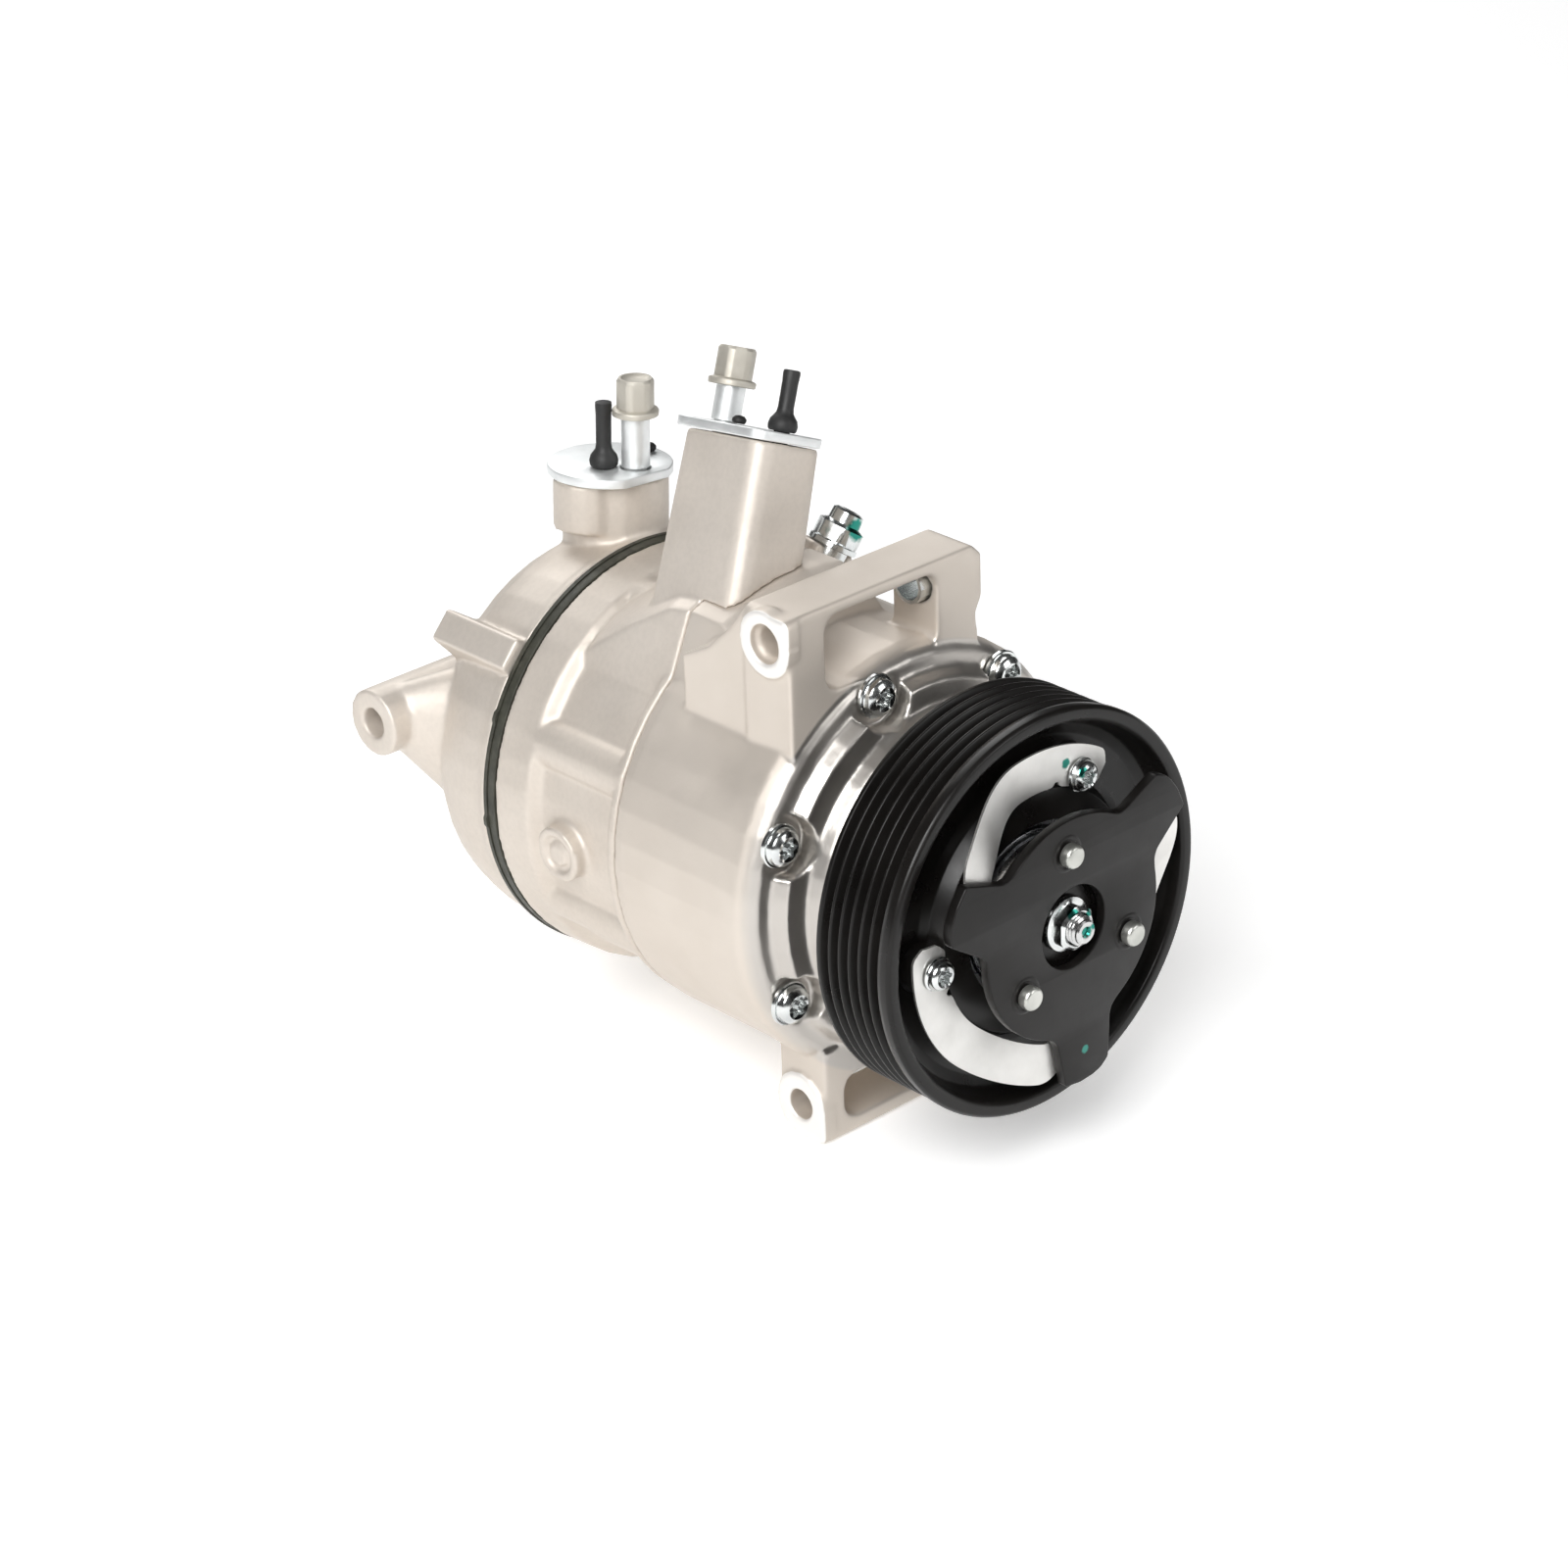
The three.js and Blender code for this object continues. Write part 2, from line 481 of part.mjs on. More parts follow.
// ---------------------------------------------------------------- bearings and seals
const bearingInner = () => ring(17.7, 21.4, 20, 39.8, 24);
const bearingOuter = () => turned([
  [27.4, 20], [27.4, 39.8], [22, 39.8], [22, 38.6], [24, 38.6], [24, 21.2], [22, 21.2], [22, 20]], 20);
function circlip() {
  const gap = outline([[-2, -14], [2, -14], [2, -24], [-2, -24]]);
  return cut(ring(16.8, 20.4, 18.3, 19.3, 24), alongY(gap, 17, 21));
}

// ---------------------------------------------------------------- swash plate and pistons
const swashSleeve = () => ring(8.4, 12.6, SWASH_Y - 6, SWASH_Y + 6, 24);
function swashPlate() {
  return turned([
    [16.6, SWASH_Y - 4.6], [23, SWASH_Y - SWASH_T / 2], [SWASH_R, SWASH_Y - SWASH_T / 2],
    [SWASH_R, SWASH_Y + SWASH_T / 2], [23, SWASH_Y + SWASH_T / 2], [16.6, SWASH_Y + 4.6]], 32);
}
const HEAD_START_Y = 142.6;      // stays behind the seam at full stroke
// A piston stands on the +Z side of the shaft; a bridge outside the swash plate carries the front shoe pad.
function piston() {
  const frontPadY = SWASH_Y - SHOE_GAP - 4;
  const head = turned([
    [0, HEAD_START_Y], [PISTON_R, HEAD_START_Y], [PISTON_R, 154], [PISTON_R - 0.8, 155.4], [PISTON_R, 156.8],
    [PISTON_R, 160.6], [0, 160.6]], 16);
  const skirt = disc(9, SWASH_Y + SHOE_GAP, HEAD_START_Y + 1, 12);
  const padFront = disc(7, frontPadY, frontPadY + 4, 12);
  const wall = alongY(roundedRect(-6, 6, 8.4, 12.4, 1.4, 1), frontPadY, 125);
  const tie = alongY(roundedRect(-6, 6, 0, 11, 1, 1), frontPadY, frontPadY + 4);
  return joined(head, skirt, padFront, wall, tie);
}
function destrokeSpring() {
  const turns = 4;
  const steps = 10;            // in one turn
  const [y0, y1] = [78, SWASH_Y - 7.6];
  const points = count(turns * steps + 1).map((k) => {
    const [x, z] = polar(10.4, (k * 360) / steps);
    return new THREE.Vector3(x, y0 + 1 + (y1 - y0 - 2) * (k / (turns * steps)), z);
  });
  const path = new THREE.CatmullRomCurve3(points);
  const wire = circle(0, 0, 0.9, 4);
  const options = { extrudePath: path, steps: turns * steps, bevelEnabled: false };
  return solid(new THREE.ExtrudeGeometry(wire, options));
}

// ---------------------------------------------------------------- port closures and valves
const roundPlate = () => cut(rodZ(17.1, -PORT_PLATE_T, 0, 0, 0, 28),
  alongZ(roundedRect(-9, 13, -20, -15.4, 0.5, 1), -5, 2),
  rodZ(4.3, -4, 1, ...SUCTION_BOLT, 10), rodZ(2.6, -4, 1, ...SUCTION_PLUG, 8));
const longPlate = () => cut(alongZ(roundedRect(-12.2, 12.2, -17.6, 18, 5, 4), -PORT_PLATE_T, 0),
  rodZ(4.3, -4, 1, ...DISCHARGE_BOLT, 10), rodZ(2.6, -4, 1, ...DISCHARGE_PLUG, 8));

// Flanged port bolt: hexagon head, washer face and a shank down into its boss.
function portBolt(standOff) {
  const washer = rodZ(6.4, standOff, standOff + 2, 0, 0, 12);
  const head = alongZ(hexagon(9.4), standOff + 1.8, standOff + 10.4);
  const shank = joined(rodZ(3.9, GAP, standOff + 0.5, 0, 0, 10), rodZ(3, -13, 1, 0, 0, 8));
  return joined(washer, head, shank);
}
// Rubber closure for a port: a bulb on the plate and a long pull tail.
const STANDING = new THREE.Matrix4().makeRotationX(Math.PI / 2);
const portPlug = (tail) => placed(turned([
  [0, -4], [2.1, -4], [2.1, GAP], [3.8, GAP], [3.8, 3], [2.1, 6], [2, tail], [0, tail]], 12), STANDING);
const smallPlug = () => placed(turned(
  [[0, GAP], [1.7, GAP], [1.9, 1.4], [1.2, 2.4], [0, 2.5]], 10), STANDING);

function reliefValve() {
  const thread = rodZ(4.9, 10, 16.5, 0, 0, 10);
  const collar = rodZ(7, 16 + GAP, 18, 0, 0, 12);
  const hex = alongZ(hexagon(12), 17.5, 23);
  const tip = rodZ(4.6, 22.5, 27, 0, 0, 10);
  return placed(joined(thread, collar, hex, tip), reliefValveFrame(0));
}
function controlValve() {
  const body = rodX(7.7, 14, 57, 188, -27, 14);
  const collar = rodX(10, 55 + GAP, 59, 188, -27, 14);
  const connector = alongX(roundedRect(180, 196, -33, -21, 3), 58, 72);
  const socket = alongX(roundedRect(182, 194, -31, -23, 2, 1), 62, 74);
  return cut(joined(body, collar, connector), socket);
}
const earBush = ([y, z]) => cut(rodX(5.2, 8, 25.8, y, z, 14), rodX(4.2, 5, 30, y, z, 12));

// ---------------------------------------------------------------- assembly: fixed pieces
piece(compressor, "front_housing", frontHousing(), CAST);
piece(compressor, "cylinder_block", cylinderBlock(), CAST);
piece(compressor, "rear_housing", rearHousing(), CAST);
piece(compressor, "suction_reed_plate", headPlate(49, BLOCK_END_Y + GAP, BLOCK_END_Y + 0.8, 5), SPRING_STEEL);
piece(compressor, "valve_plate", headPlate(BLOCK_R, 163.1, 164.6, 4), STEEL);
piece(compressor, "head_gasket", headGasket(), GASKET);
piece(compressor, "discharge_reed_plate", headPlate(48.5, 164.9, 165.4, 3), SPRING_STEEL);
for (const k of count(BOLTS)) {
  const bolt = piece(compressor, `through_bolt_${k + 1}`, throughBolt(), ZINC);
  const [x, z] = polar(BOLT_PCR, BOLT_ANGLE + k * BOLT_PITCH);
  bolt.position.set(x, 0, z);
}
piece(compressor, "ear_bush_upper", earBush(EAR_UPPER), ZINC);
piece(compressor, "ear_bush_lower", earBush(EAR_LOWER), ZINC);
piece(compressor, "relief_valve", reliefValve(), ZINC);
piece(compressor, "control_valve", controlValve(), BLACK_COAT);
piece(compressor, "shaft_seal", ring(7.8, 12.7, 34, 42, 24), RUBBER);
piece(compressor, "front_radial_bearing", ring(7.8, 12, 51, 63, 24), STEEL);
piece(compressor, "rear_radial_bearing", ring(8.3, 12, 131, 144, 24), STEEL);
piece(compressor, "thrust_bearing", ring(13, 22, CRANK_Y + GAP, 68, 32), STEEL);
piece(compressor, "pulley_bearing_inner", bearingInner(), STEEL);
piece(compressor, "bearing_circlip", circlip(), STEEL);

const dischargePort = new THREE.Group();
const suctionPort = new THREE.Group();
dischargePort.applyMatrix4(DISCHARGE);
suctionPort.applyMatrix4(SUCTION);
compressor.add(dischargePort, suctionPort);
piece(dischargePort, "discharge_port_plate", longPlate(), ZINC);
piece(dischargePort, "discharge_port_bolt", portBolt(9.6), DULL_ZINC).position.set(...DISCHARGE_BOLT, 0);
piece(dischargePort, "discharge_port_plug", portPlug(16.4), RUBBER).position.set(...DISCHARGE_PLUG, 0);
piece(dischargePort, "discharge_vent_plug", smallPlug(), RUBBER).position.set(...DISCHARGE_VENT, 0);
piece(suctionPort, "suction_port_plate", roundPlate(), ZINC);
piece(suctionPort, "suction_port_bolt", portBolt(14.6), DULL_ZINC).position.set(...SUCTION_BOLT, 0);
piece(suctionPort, "suction_port_plug", portPlug(18.4), RUBBER).position.set(...SUCTION_PLUG, 0);
piece(suctionPort, "suction_vent_plug", smallPlug(), RUBBER).position.set(...SUCTION_VENT, 0);

// ---------------------------------------------------------------- assembly: pieces that turn with the shaft
piece(drive, "drive_shaft", driveShaft(), STEEL);
piece(drive, "lug_plate", lugPlate(), STEEL);
piece(drive, "drive_hub", driveHub(), BLACK_COAT);
piece(drive, "hub_nut", hubNut(), ZINC);
piece(drive, "drive_plate", drivePlate(), BLACK_COAT);
piece(drive, "pulley", pulley(), BLACK_COAT);
piece(drive, "pulley_bearing_outer", bearingOuter(), STEEL);
for (const k of count(3)) {
  const turn = -(SPRING_ANGLE + k * 120) * DEG;
  piece(drive, `leaf_spring_${k + 1}`, leafSpring(), SPRING_STEEL).rotation.y = turn;
  const [screwX, screwZ] = polar(SPRING_R, SPRING_ANGLE + k * 120);
  piece(drive, `spring_screw_${k + 1}`, springScrew(), ZINC).position.set(screwX, 0, screwZ);
  const [rivetX, rivetZ] = polar(RIVET_R, RIVET_ANGLE + k * 120);
  piece(drive, `rivet_${k + 1}`, rivet(), DULL_ZINC).position.set(rivetX, 0, rivetZ);
}

// ---------------------------------------------------------------- assembly: swash plate and pistons
piece(compressor, "swash_sleeve", swashSleeve(), STEEL);
piece(compressor, "swash_plate", swashPlate(), STEEL);
piece(compressor, "destroke_spring", destrokeSpring(), SPRING_STEEL);
for (const k of count(BOLTS)) {
  const angle = BOLT_ANGLE + (k + 0.5) * BOLT_PITCH;
  const mesh = piece(compressor, `piston_${k + 1}`, piston(), CAST_BRIGHT);
  const [x, z] = polar(BORE_PCR, angle);
  mesh.position.set(x, 0, z);
  mesh.rotation.y = (90 - angle) * DEG;
}

export default compressor;
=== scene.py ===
"""Automotive air-conditioning compressor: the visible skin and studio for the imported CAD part."""
import json
import math

import bmesh
import bpy
from mathutils import Matrix, Vector


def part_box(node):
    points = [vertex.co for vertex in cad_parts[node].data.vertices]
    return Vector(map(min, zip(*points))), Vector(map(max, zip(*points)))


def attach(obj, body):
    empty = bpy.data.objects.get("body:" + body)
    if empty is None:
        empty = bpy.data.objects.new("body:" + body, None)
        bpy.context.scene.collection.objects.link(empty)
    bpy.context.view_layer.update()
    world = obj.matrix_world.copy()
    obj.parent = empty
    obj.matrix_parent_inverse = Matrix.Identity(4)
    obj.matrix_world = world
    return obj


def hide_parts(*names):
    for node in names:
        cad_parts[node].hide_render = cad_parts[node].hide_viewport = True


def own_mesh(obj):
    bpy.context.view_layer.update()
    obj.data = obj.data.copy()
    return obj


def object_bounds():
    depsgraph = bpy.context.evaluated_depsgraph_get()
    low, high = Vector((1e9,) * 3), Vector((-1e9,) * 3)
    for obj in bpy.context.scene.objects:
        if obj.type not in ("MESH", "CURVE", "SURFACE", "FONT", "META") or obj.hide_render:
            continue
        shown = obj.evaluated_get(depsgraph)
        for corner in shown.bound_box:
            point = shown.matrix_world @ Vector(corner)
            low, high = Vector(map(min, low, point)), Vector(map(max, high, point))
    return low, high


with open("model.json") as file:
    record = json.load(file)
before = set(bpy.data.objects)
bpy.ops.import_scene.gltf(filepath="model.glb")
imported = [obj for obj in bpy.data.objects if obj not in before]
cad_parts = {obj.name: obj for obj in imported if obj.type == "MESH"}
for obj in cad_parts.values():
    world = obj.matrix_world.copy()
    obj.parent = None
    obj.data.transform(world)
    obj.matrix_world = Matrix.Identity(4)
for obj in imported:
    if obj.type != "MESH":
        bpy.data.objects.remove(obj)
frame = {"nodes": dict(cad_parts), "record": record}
CAD_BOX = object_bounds()

MM = 0.001
TAU = 2 * math.pi

# ------------------------------------------------------------------ driving dimensions, in mm
BOLTS = 7
BOLT_PCR = 52.9
BOLT_ANGLE = 53.4               # of the first through-bolt, degrees from +X towards +Z
BOLT_PITCH = 360 / BOLTS
SEAT_Y = 61.4                   # seat of the through-bolt heads
SPRINGS = 3
SPRING_R = 36.8                 # screws that hold the leaf springs to the pulley
SPRING_ANGLE = 65.5
SPRING_SEAT_Y = 16.5
SPRING_OUT_Y = 17.2             # middle of a leaf spring at its screw, and at its rivet
SPRING_IN_Y = 8.1
SPRING_T = 0.8
RIVET_R = 21.7
RIVET_ANGLE = 96
RIVET_Y = 0.9
ARM_ANGLE = 36
PLATE_Y = 4.4                   # front of the drive plate
PLATE_T = 3.0
PLATE_R = 30.6                  # round middle of the drive plate
PLATE_HOLE_R = 11.4
HUB_Y = 8.8
HUB_END_Y = 30
SHAFT_END_Y = 145
PULLEY_R = 55
PULLEY_Y = 14.6
PULLEY_END_Y = 41.5
RIB_PITCH = 3.56
RIB_GROOVES = 6
RIB_DEPTH = 2.9
BEARING_Y = 20
BEARING_END_Y = 39.8
BORE_PCR = 38.5
SWASH_Y = 107
SHOE_GAP = 7.5
SHOE_R = 5.6
RING_BOSS_Y = 136.4             # raised ring on the cylinder block's side
RING_BOSS_ROOT = 55
GASKET_R = 59.05
GASKET_Y = (164.9, 166.1)
VALVE_RIM_R = 58.75
VALVE_RIM_Y = (162.1, 164.85)
PORT_PLATE_T = 2.6

# Tilted ports and relief valve: a point in mm, and the axis that leaves the body.
DISCHARGE = ((5.6, 125.8, 101), (0.392, 0.125, 0.911))
SUCTION = ((4.5, 182, 76), (0.08, 0.032, 0.996))
RELIEF = ((16, 119, 50), (0.55, -0.12, 0.83))


# ------------------------------------------------------------------ places and shapes
def polar(radius, degrees):
    return radius * math.cos(math.radians(degrees)), radius * math.sin(math.radians(degrees))


def third(radius, degrees, index):
    """One of three places at equal steps round the shaft."""
    return polar(radius, degrees + index * 120)


def basis(x, y, z, at):
    """A 4x4 whose columns are three axes and a place, the place in mm."""
    m = Matrix((x, y, z)).transposed().to_4x4()
    m.translation = Vector(at) * MM
    return m


def along_shaft(x=0.0, z=0.0, y=0.0):
    """Local Z runs along +Y of the object, local X stays X, and local Y is -Z."""
    return basis((1, 0, 0), (0, 0, -1), (0, 1, 0), (x, y, z))


def port_frame(port, at=(0, 0), sideways=(1, 0, 0)):
    point, axis = port
    z = Vector(axis).normalized()
    x = Vector(sideways)
    x = (x - z * x.dot(z)).normalized()
    y = z.cross(x)
    return basis(x, y, z, Vector(point) + x * at[0] + y * at[1])


def circle(r):
    return lambda a: r


def hexagon(flats, rounding=0.06):
    """Radius of a hexagon with slightly rounded corners, by angle."""
    def radius(a):
        off = (a + TAU / 12) % (TAU / 6) - TAU / 12
        sharp = flats / 2 / math.cos(off)
        return min(sharp, flats / math.sqrt(3) * (1 - rounding))
    return radius


def torx(r):
    return lambda a: r * (1 + 0.16 * math.cos(6 * a))


def rounded(profile, radius=0.3, steps=3):
    """Each inner corner of a list of [r, z] points becomes a small arc."""
    out = [profile[0]]
    for before, here, after in zip(profile, profile[1:], profile[2:]):
        if callable(here[0]) or callable(before[0]) or callable(after[0]):
            out.append(here)
            continue
        p, a, b = Vector(here), Vector(before), Vector(after)
        to_a, to_b = a - p, b - p
        cut = min(radius, 0.45 * to_a.length, 0.45 * to_b.length)
        start, end = p + to_a.normalized() * cut, p + to_b.normalized() * cut
        for k in range(steps + 1):
            t = k / steps
            q = start * (1 - t) ** 2 + p * 2 * t * (1 - t) + end * t ** 2
            out.append((q.x, q.y))
    out.append(profile[-1])
    return out


def grid_mesh(name, rings, closed_u, cap):
    """A skin over rings of points: every ring has the same number of points and closes on itself."""
    bm = bmesh.new()
    rows = [[bm.verts.new(p) for p in ring] for ring in rings]
    pairs = list(zip(rows, rows[1:]))
    if closed_u:
        pairs.append((rows[-1], rows[0]))
    for low, high in pairs:
        n = len(low)
        for i in range(n):
            j = (i + 1) % n
            bm.faces.new((low[i], low[j], high[j], high[i]))
    if cap:
        for row, turn in ((rows[0], True), (rows[-1], False)):
            centre = bm.verts.new(sum((v.co for v in row), Vector()) / len(row))
            for i, v in enumerate(row):
                w = row[(i + 1) % len(row)]
                bm.faces.new((w, v, centre) if turn else (v, w, centre))
    bmesh.ops.recalc_face_normals(bm, faces=bm.faces)
    mesh = bpy.data.meshes.new(name)
    bm.to_mesh(mesh)
    bm.free()
    return mesh


def lathe_mesh(name, profile, segments, matrix, ring=False):
    """Turned round local Z. Each profile point is (radius, z) in mm; a radius may be a function of angle."""
    rings = []
    for r, z in profile:
        radius = r if callable(r) else circle(r)
        row = []
        for k in range(segments):
            a = TAU * k / segments
            point = Vector((radius(a) * math.cos(a) * MM, radius(a) * math.sin(a) * MM, z * MM))
            row.append(matrix @ point)
        rings.append(row)
    return grid_mesh(name, rings, ring, not ring)


def prism_mesh(name, outline, z0, z1, matrix, bevel=0.0, holes=()):
    """A flat plate along local Z from an outline of (x, y) in mm, with round holes (x, y, r)."""
    curve = bpy.data.curves.new(name, "CURVE")
    curve.dimensions = "2D"
    curve.fill_mode = "BOTH"
    loops = [outline]
    for x, y, r in holes:
        loops.append([(x + r * math.cos(TAU * k / 48), y + r * math.sin(TAU * k / 48)) for k in range(48)])
    for loop in loops:
        spline = curve.splines.new("POLY")
        spline.points.add(len(loop) - 1)
        for point, (x, y) in zip(spline.points, loop):
            point.co = (x * MM, y * MM, 0, 1)
        spline.use_cyclic_u = True
    curve.extrude = ((z1 - z0) / 2 - bevel) * MM
    curve.bevel_depth = bevel * MM
    curve.bevel_resolution = 2
    curve.offset = -bevel * MM
    holder = bpy.data.objects.new(name + "_curve", curve)
    bpy.context.collection.objects.link(holder)
    mesh = bpy.data.meshes.new_from_object(holder.evaluated_get(bpy.context.evaluated_depsgraph_get()))
    bpy.data.objects.remove(holder)
    mesh.transform(matrix @ Matrix.Translation((0, 0, (z0 + z1) / 2 * MM)))
    bm = bmesh.new()
    bm.from_mesh(mesh)
    bmesh.ops.remove_doubles(bm, verts=bm.verts, dist=1e-6)
    bmesh.ops.recalc_face_normals(bm, faces=bm.faces)
    bm.to_mesh(mesh)
    bm.free()
    return mesh


def joined(name, meshes):
    bm = bmesh.new()
    for mesh in meshes:
        bm.from_mesh(mesh)
        bpy.data.meshes.remove(mesh)
    whole = bpy.data.meshes.new(name)
    bm.to_mesh(whole)
    bm.free()
    return whole


def piece(name, mesh, material, body, replaces=(), sharp=32):
    """One visible piece of the object, with smooth shading up to an edge angle."""
    obj = bpy.data.objects.new(name, mesh)
    bpy.context.collection.objects.link(obj)
    mesh.materials.clear()
    mesh.materials.append(material)
    mesh.shade_smooth()
    mesh.set_sharp_from_angle(angle=math.radians(sharp))
    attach(obj, body)
    if replaces:
        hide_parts(*replaces)
    return obj


def applied(obj):
    """The object's mesh with its modifiers applied."""
    done = bpy.data.meshes.new_from_object(obj.evaluated_get(bpy.context.evaluated_depsgraph_get()))
    bpy.data.objects.remove(obj)
    return done


def cast(name, node, extras, voxel, material):
    """A sand-cast copy of a CAD node: details added, then every edge rounded by a fine remesh."""
    mesh = joined(name, [frame["nodes"][node].data.copy()] + extras)
    obj = bpy.data.objects.new(name + "_raw", mesh)
    bpy.context.collection.objects.link(obj)
    skin = obj.modifiers.new("skin", "REMESH")
    skin.mode = "VOXEL"
    skin.voxel_size = voxel * MM
    soft = obj.modifiers.new("soft", "SMOOTH")
    soft.factor = 0.5
    soft.iterations = 8
    fewer = obj.modifiers.new("fewer", "DECIMATE")
    fewer.ratio = 0.35
    piece(name, applied(obj), material, "housing", (node,), sharp=180)


# ------------------------------------------------------------------ materials
class Nodes:
    """A small helper that adds and links shader nodes."""

    def __init__(self, name):
        self.material = bpy.data.materials.new(name)
        self.material.use_nodes = True
        self.tree = self.material.node_tree
        self.shader = self.tree.nodes["Principled BSDF"]
        self.place = self.add("ShaderNodeTexCoord").outputs["Object"]

    def add(self, kind, **settings):
        node = self.tree.nodes.new(kind)
        for key, value in settings.items():
            setattr(node, key, value)
        return node

    def link(self, source, target):
        self.tree.links.new(source, target)

    def stretched(self, scale):
        node = self.add("ShaderNodeMapping")
        node.inputs["Scale"].default_value = scale
        self.link(self.place, node.inputs["Vector"])
        return node.outputs["Vector"]

    def noise(self, scale, detail=4.0, place=None, distortion=0.0):
        node = self.add("ShaderNodeTexNoise")
        node.inputs["Scale"].default_value = scale
        node.inputs["Detail"].default_value = detail
        node.inputs["Distortion"].default_value = distortion
        self.link(place or self.place, node.inputs["Vector"])
        return node.outputs["Fac"]

    def ramp(self, source, stops):
        node = self.add("ShaderNodeValToRGB")
        first, last = node.color_ramp.elements
        first.position, first.color = stops[0][0], (*stops[0][1], 1)
        last.position, last.color = stops[-1][0], (*stops[-1][1], 1)
        for position, color in stops[1:-1]:
            node.color_ramp.elements.new(position).color = (*color, 1)
        self.link(source, node.inputs["Fac"])
        return node.outputs["Color"]

    def between(self, source, low, high, out_low=0.0, out_high=1.0):
        node = self.add("ShaderNodeMapRange")
        node.inputs["From Min"].default_value = low
        node.inputs["From Max"].default_value = high
        node.inputs["To Min"].default_value = out_low
        node.inputs["To Max"].default_value = out_high
        self.link(source, node.inputs["Value"])
        return node.outputs["Result"]

    def math(self, operation, a, b):
        node = self.add("ShaderNodeMath", operation=operation)
        for socket, value in zip(node.inputs, (a, b)):
            if isinstance(value, (int, float)):
                socket.default_value = value
            else:
                self.link(value, socket)
        return node.outputs["Value"]

    def mix(self, share, a, b):
        node = self.add("ShaderNodeMix", data_type="RGBA")
        self.link(share, node.inputs[0])
        for socket, value in zip((node.inputs[6], node.inputs[7]), (a, b)):
            if isinstance(value, tuple):
                socket.default_value = (*value, 1)
            else:
                self.link(value, socket)
        return node.outputs[2]

    def bump(self, height, strength, distance):
        node = self.add("ShaderNodeBump")
        node.inputs["Strength"].default_value = strength
        node.inputs["Distance"].default_value = distance
        self.link(height, node.inputs["Height"])
        self.link(node.outputs["Normal"], self.shader.inputs["Normal"])

    def axis(self, index):
        node = self.add("ShaderNodeSeparateXYZ")
        self.link(self.place, node.inputs["Vector"])
        return node.outputs[index]

    def radius(self):
        """Distance from the shaft's axis."""
        parts = self.add("ShaderNodeSeparateXYZ")
        self.link(self.place, parts.inputs["Vector"])
        flat = self.add("ShaderNodeCombineXYZ")
        self.link(parts.outputs[0], flat.inputs[0])
        self.link(parts.outputs[2], flat.inputs[2])
        node = self.add("ShaderNodeVectorMath", operation="LENGTH")
        self.link(flat.outputs[0], node.inputs[0])
        return node.outputs["Value"]

    def spot(self, at, radius, soft=0.35):
        """1 inside a small dab of paint with a ragged edge, 0 outside."""
        node = self.add("ShaderNodeVectorMath", operation="DISTANCE")
        self.link(self.place, node.inputs[0])
        node.inputs[1].default_value = [v * MM for v in at]
        ragged = self.math("MULTIPLY", self.noise(900, 2), radius * MM * 0.5)
        far = self.math("ADD", node.outputs["Value"], ragged)
        return self.between(far, radius * MM * (1 + soft), radius * MM, 0, 1)


CAST = (0.61, 0.55, 0.485)
CAST_LIGHT = (0.71, 0.65, 0.585)
TEAL = (0.03, 0.24, 0.19)


def cast_alloy():
    """Matte cast aluminium with fine grain and soft patches."""
    n = Nodes("cast_alloy")
    patches = n.ramp(n.noise(14, 3), [(0.3, CAST), (0.7, CAST_LIGHT)])
    speckle = n.ramp(n.noise(700, 2), [(0.35, (0.9, 0.9, 0.9)), (0.6, (1, 1, 1))])
    grain = n.add("ShaderNodeMix", data_type="RGBA", blend_type="MULTIPLY")
    grain.inputs[0].default_value = 0.35
    n.link(patches, grain.inputs[6])
    n.link(speckle, grain.inputs[7])
    n.link(grain.outputs[2], n.shader.inputs["Base Color"])
    n.link(n.between(n.noise(60, 3), 0.3, 0.7, 0.48, 0.6), n.shader.inputs["Roughness"])
    n.shader.inputs["Metallic"].default_value = 0.5
    n.bump(n.noise(520, 4), 0.09, 0.0004)
    return n.material


def front_alloy():
    """The front casting: shinier in front of the shoulder, bright where the ear faces are machined."""
    n = Nodes("front_alloy")
    x, y, z = n.axis(0), n.axis(1), n.axis(2)
    shine = n.math("MULTIPLY", n.between(y, 0.066, 0.0625), n.between(n.radius(), 0.0594, 0.0584))
    upper = n.math("MULTIPLY", n.between(x, -0.0416, -0.0418), n.between(z, 0.052, 0.053))
    lower = n.math("MULTIPLY", n.between(x, -0.0362, -0.0364), n.between(z, -0.049, -0.05))
    face = n.math("MAXIMUM", upper, lower)
    patches = n.ramp(n.noise(14, 3), [(0.3, CAST), (0.7, CAST_LIGHT)])
    tinted = n.mix(shine, patches, (0.56, 0.53, 0.495))
    n.link(n.mix(face, tinted, (0.9, 0.88, 0.85)), n.shader.inputs["Base Color"])
    matte = n.between(n.noise(60, 3), 0.3, 0.7, 0.46, 0.6)
    glossy = n.between(n.noise(90, 3), 0.3, 0.7, 0.3, 0.4)
    n.link(n.mix(shine, matte, glossy), n.shader.inputs["Roughness"])
    n.link(n.between(shine, 0, 1, 0.55, 0.92), n.shader.inputs["Metallic"])
    n.bump(n.noise(520, 6), 0.12, 0.0004)
    return n.material


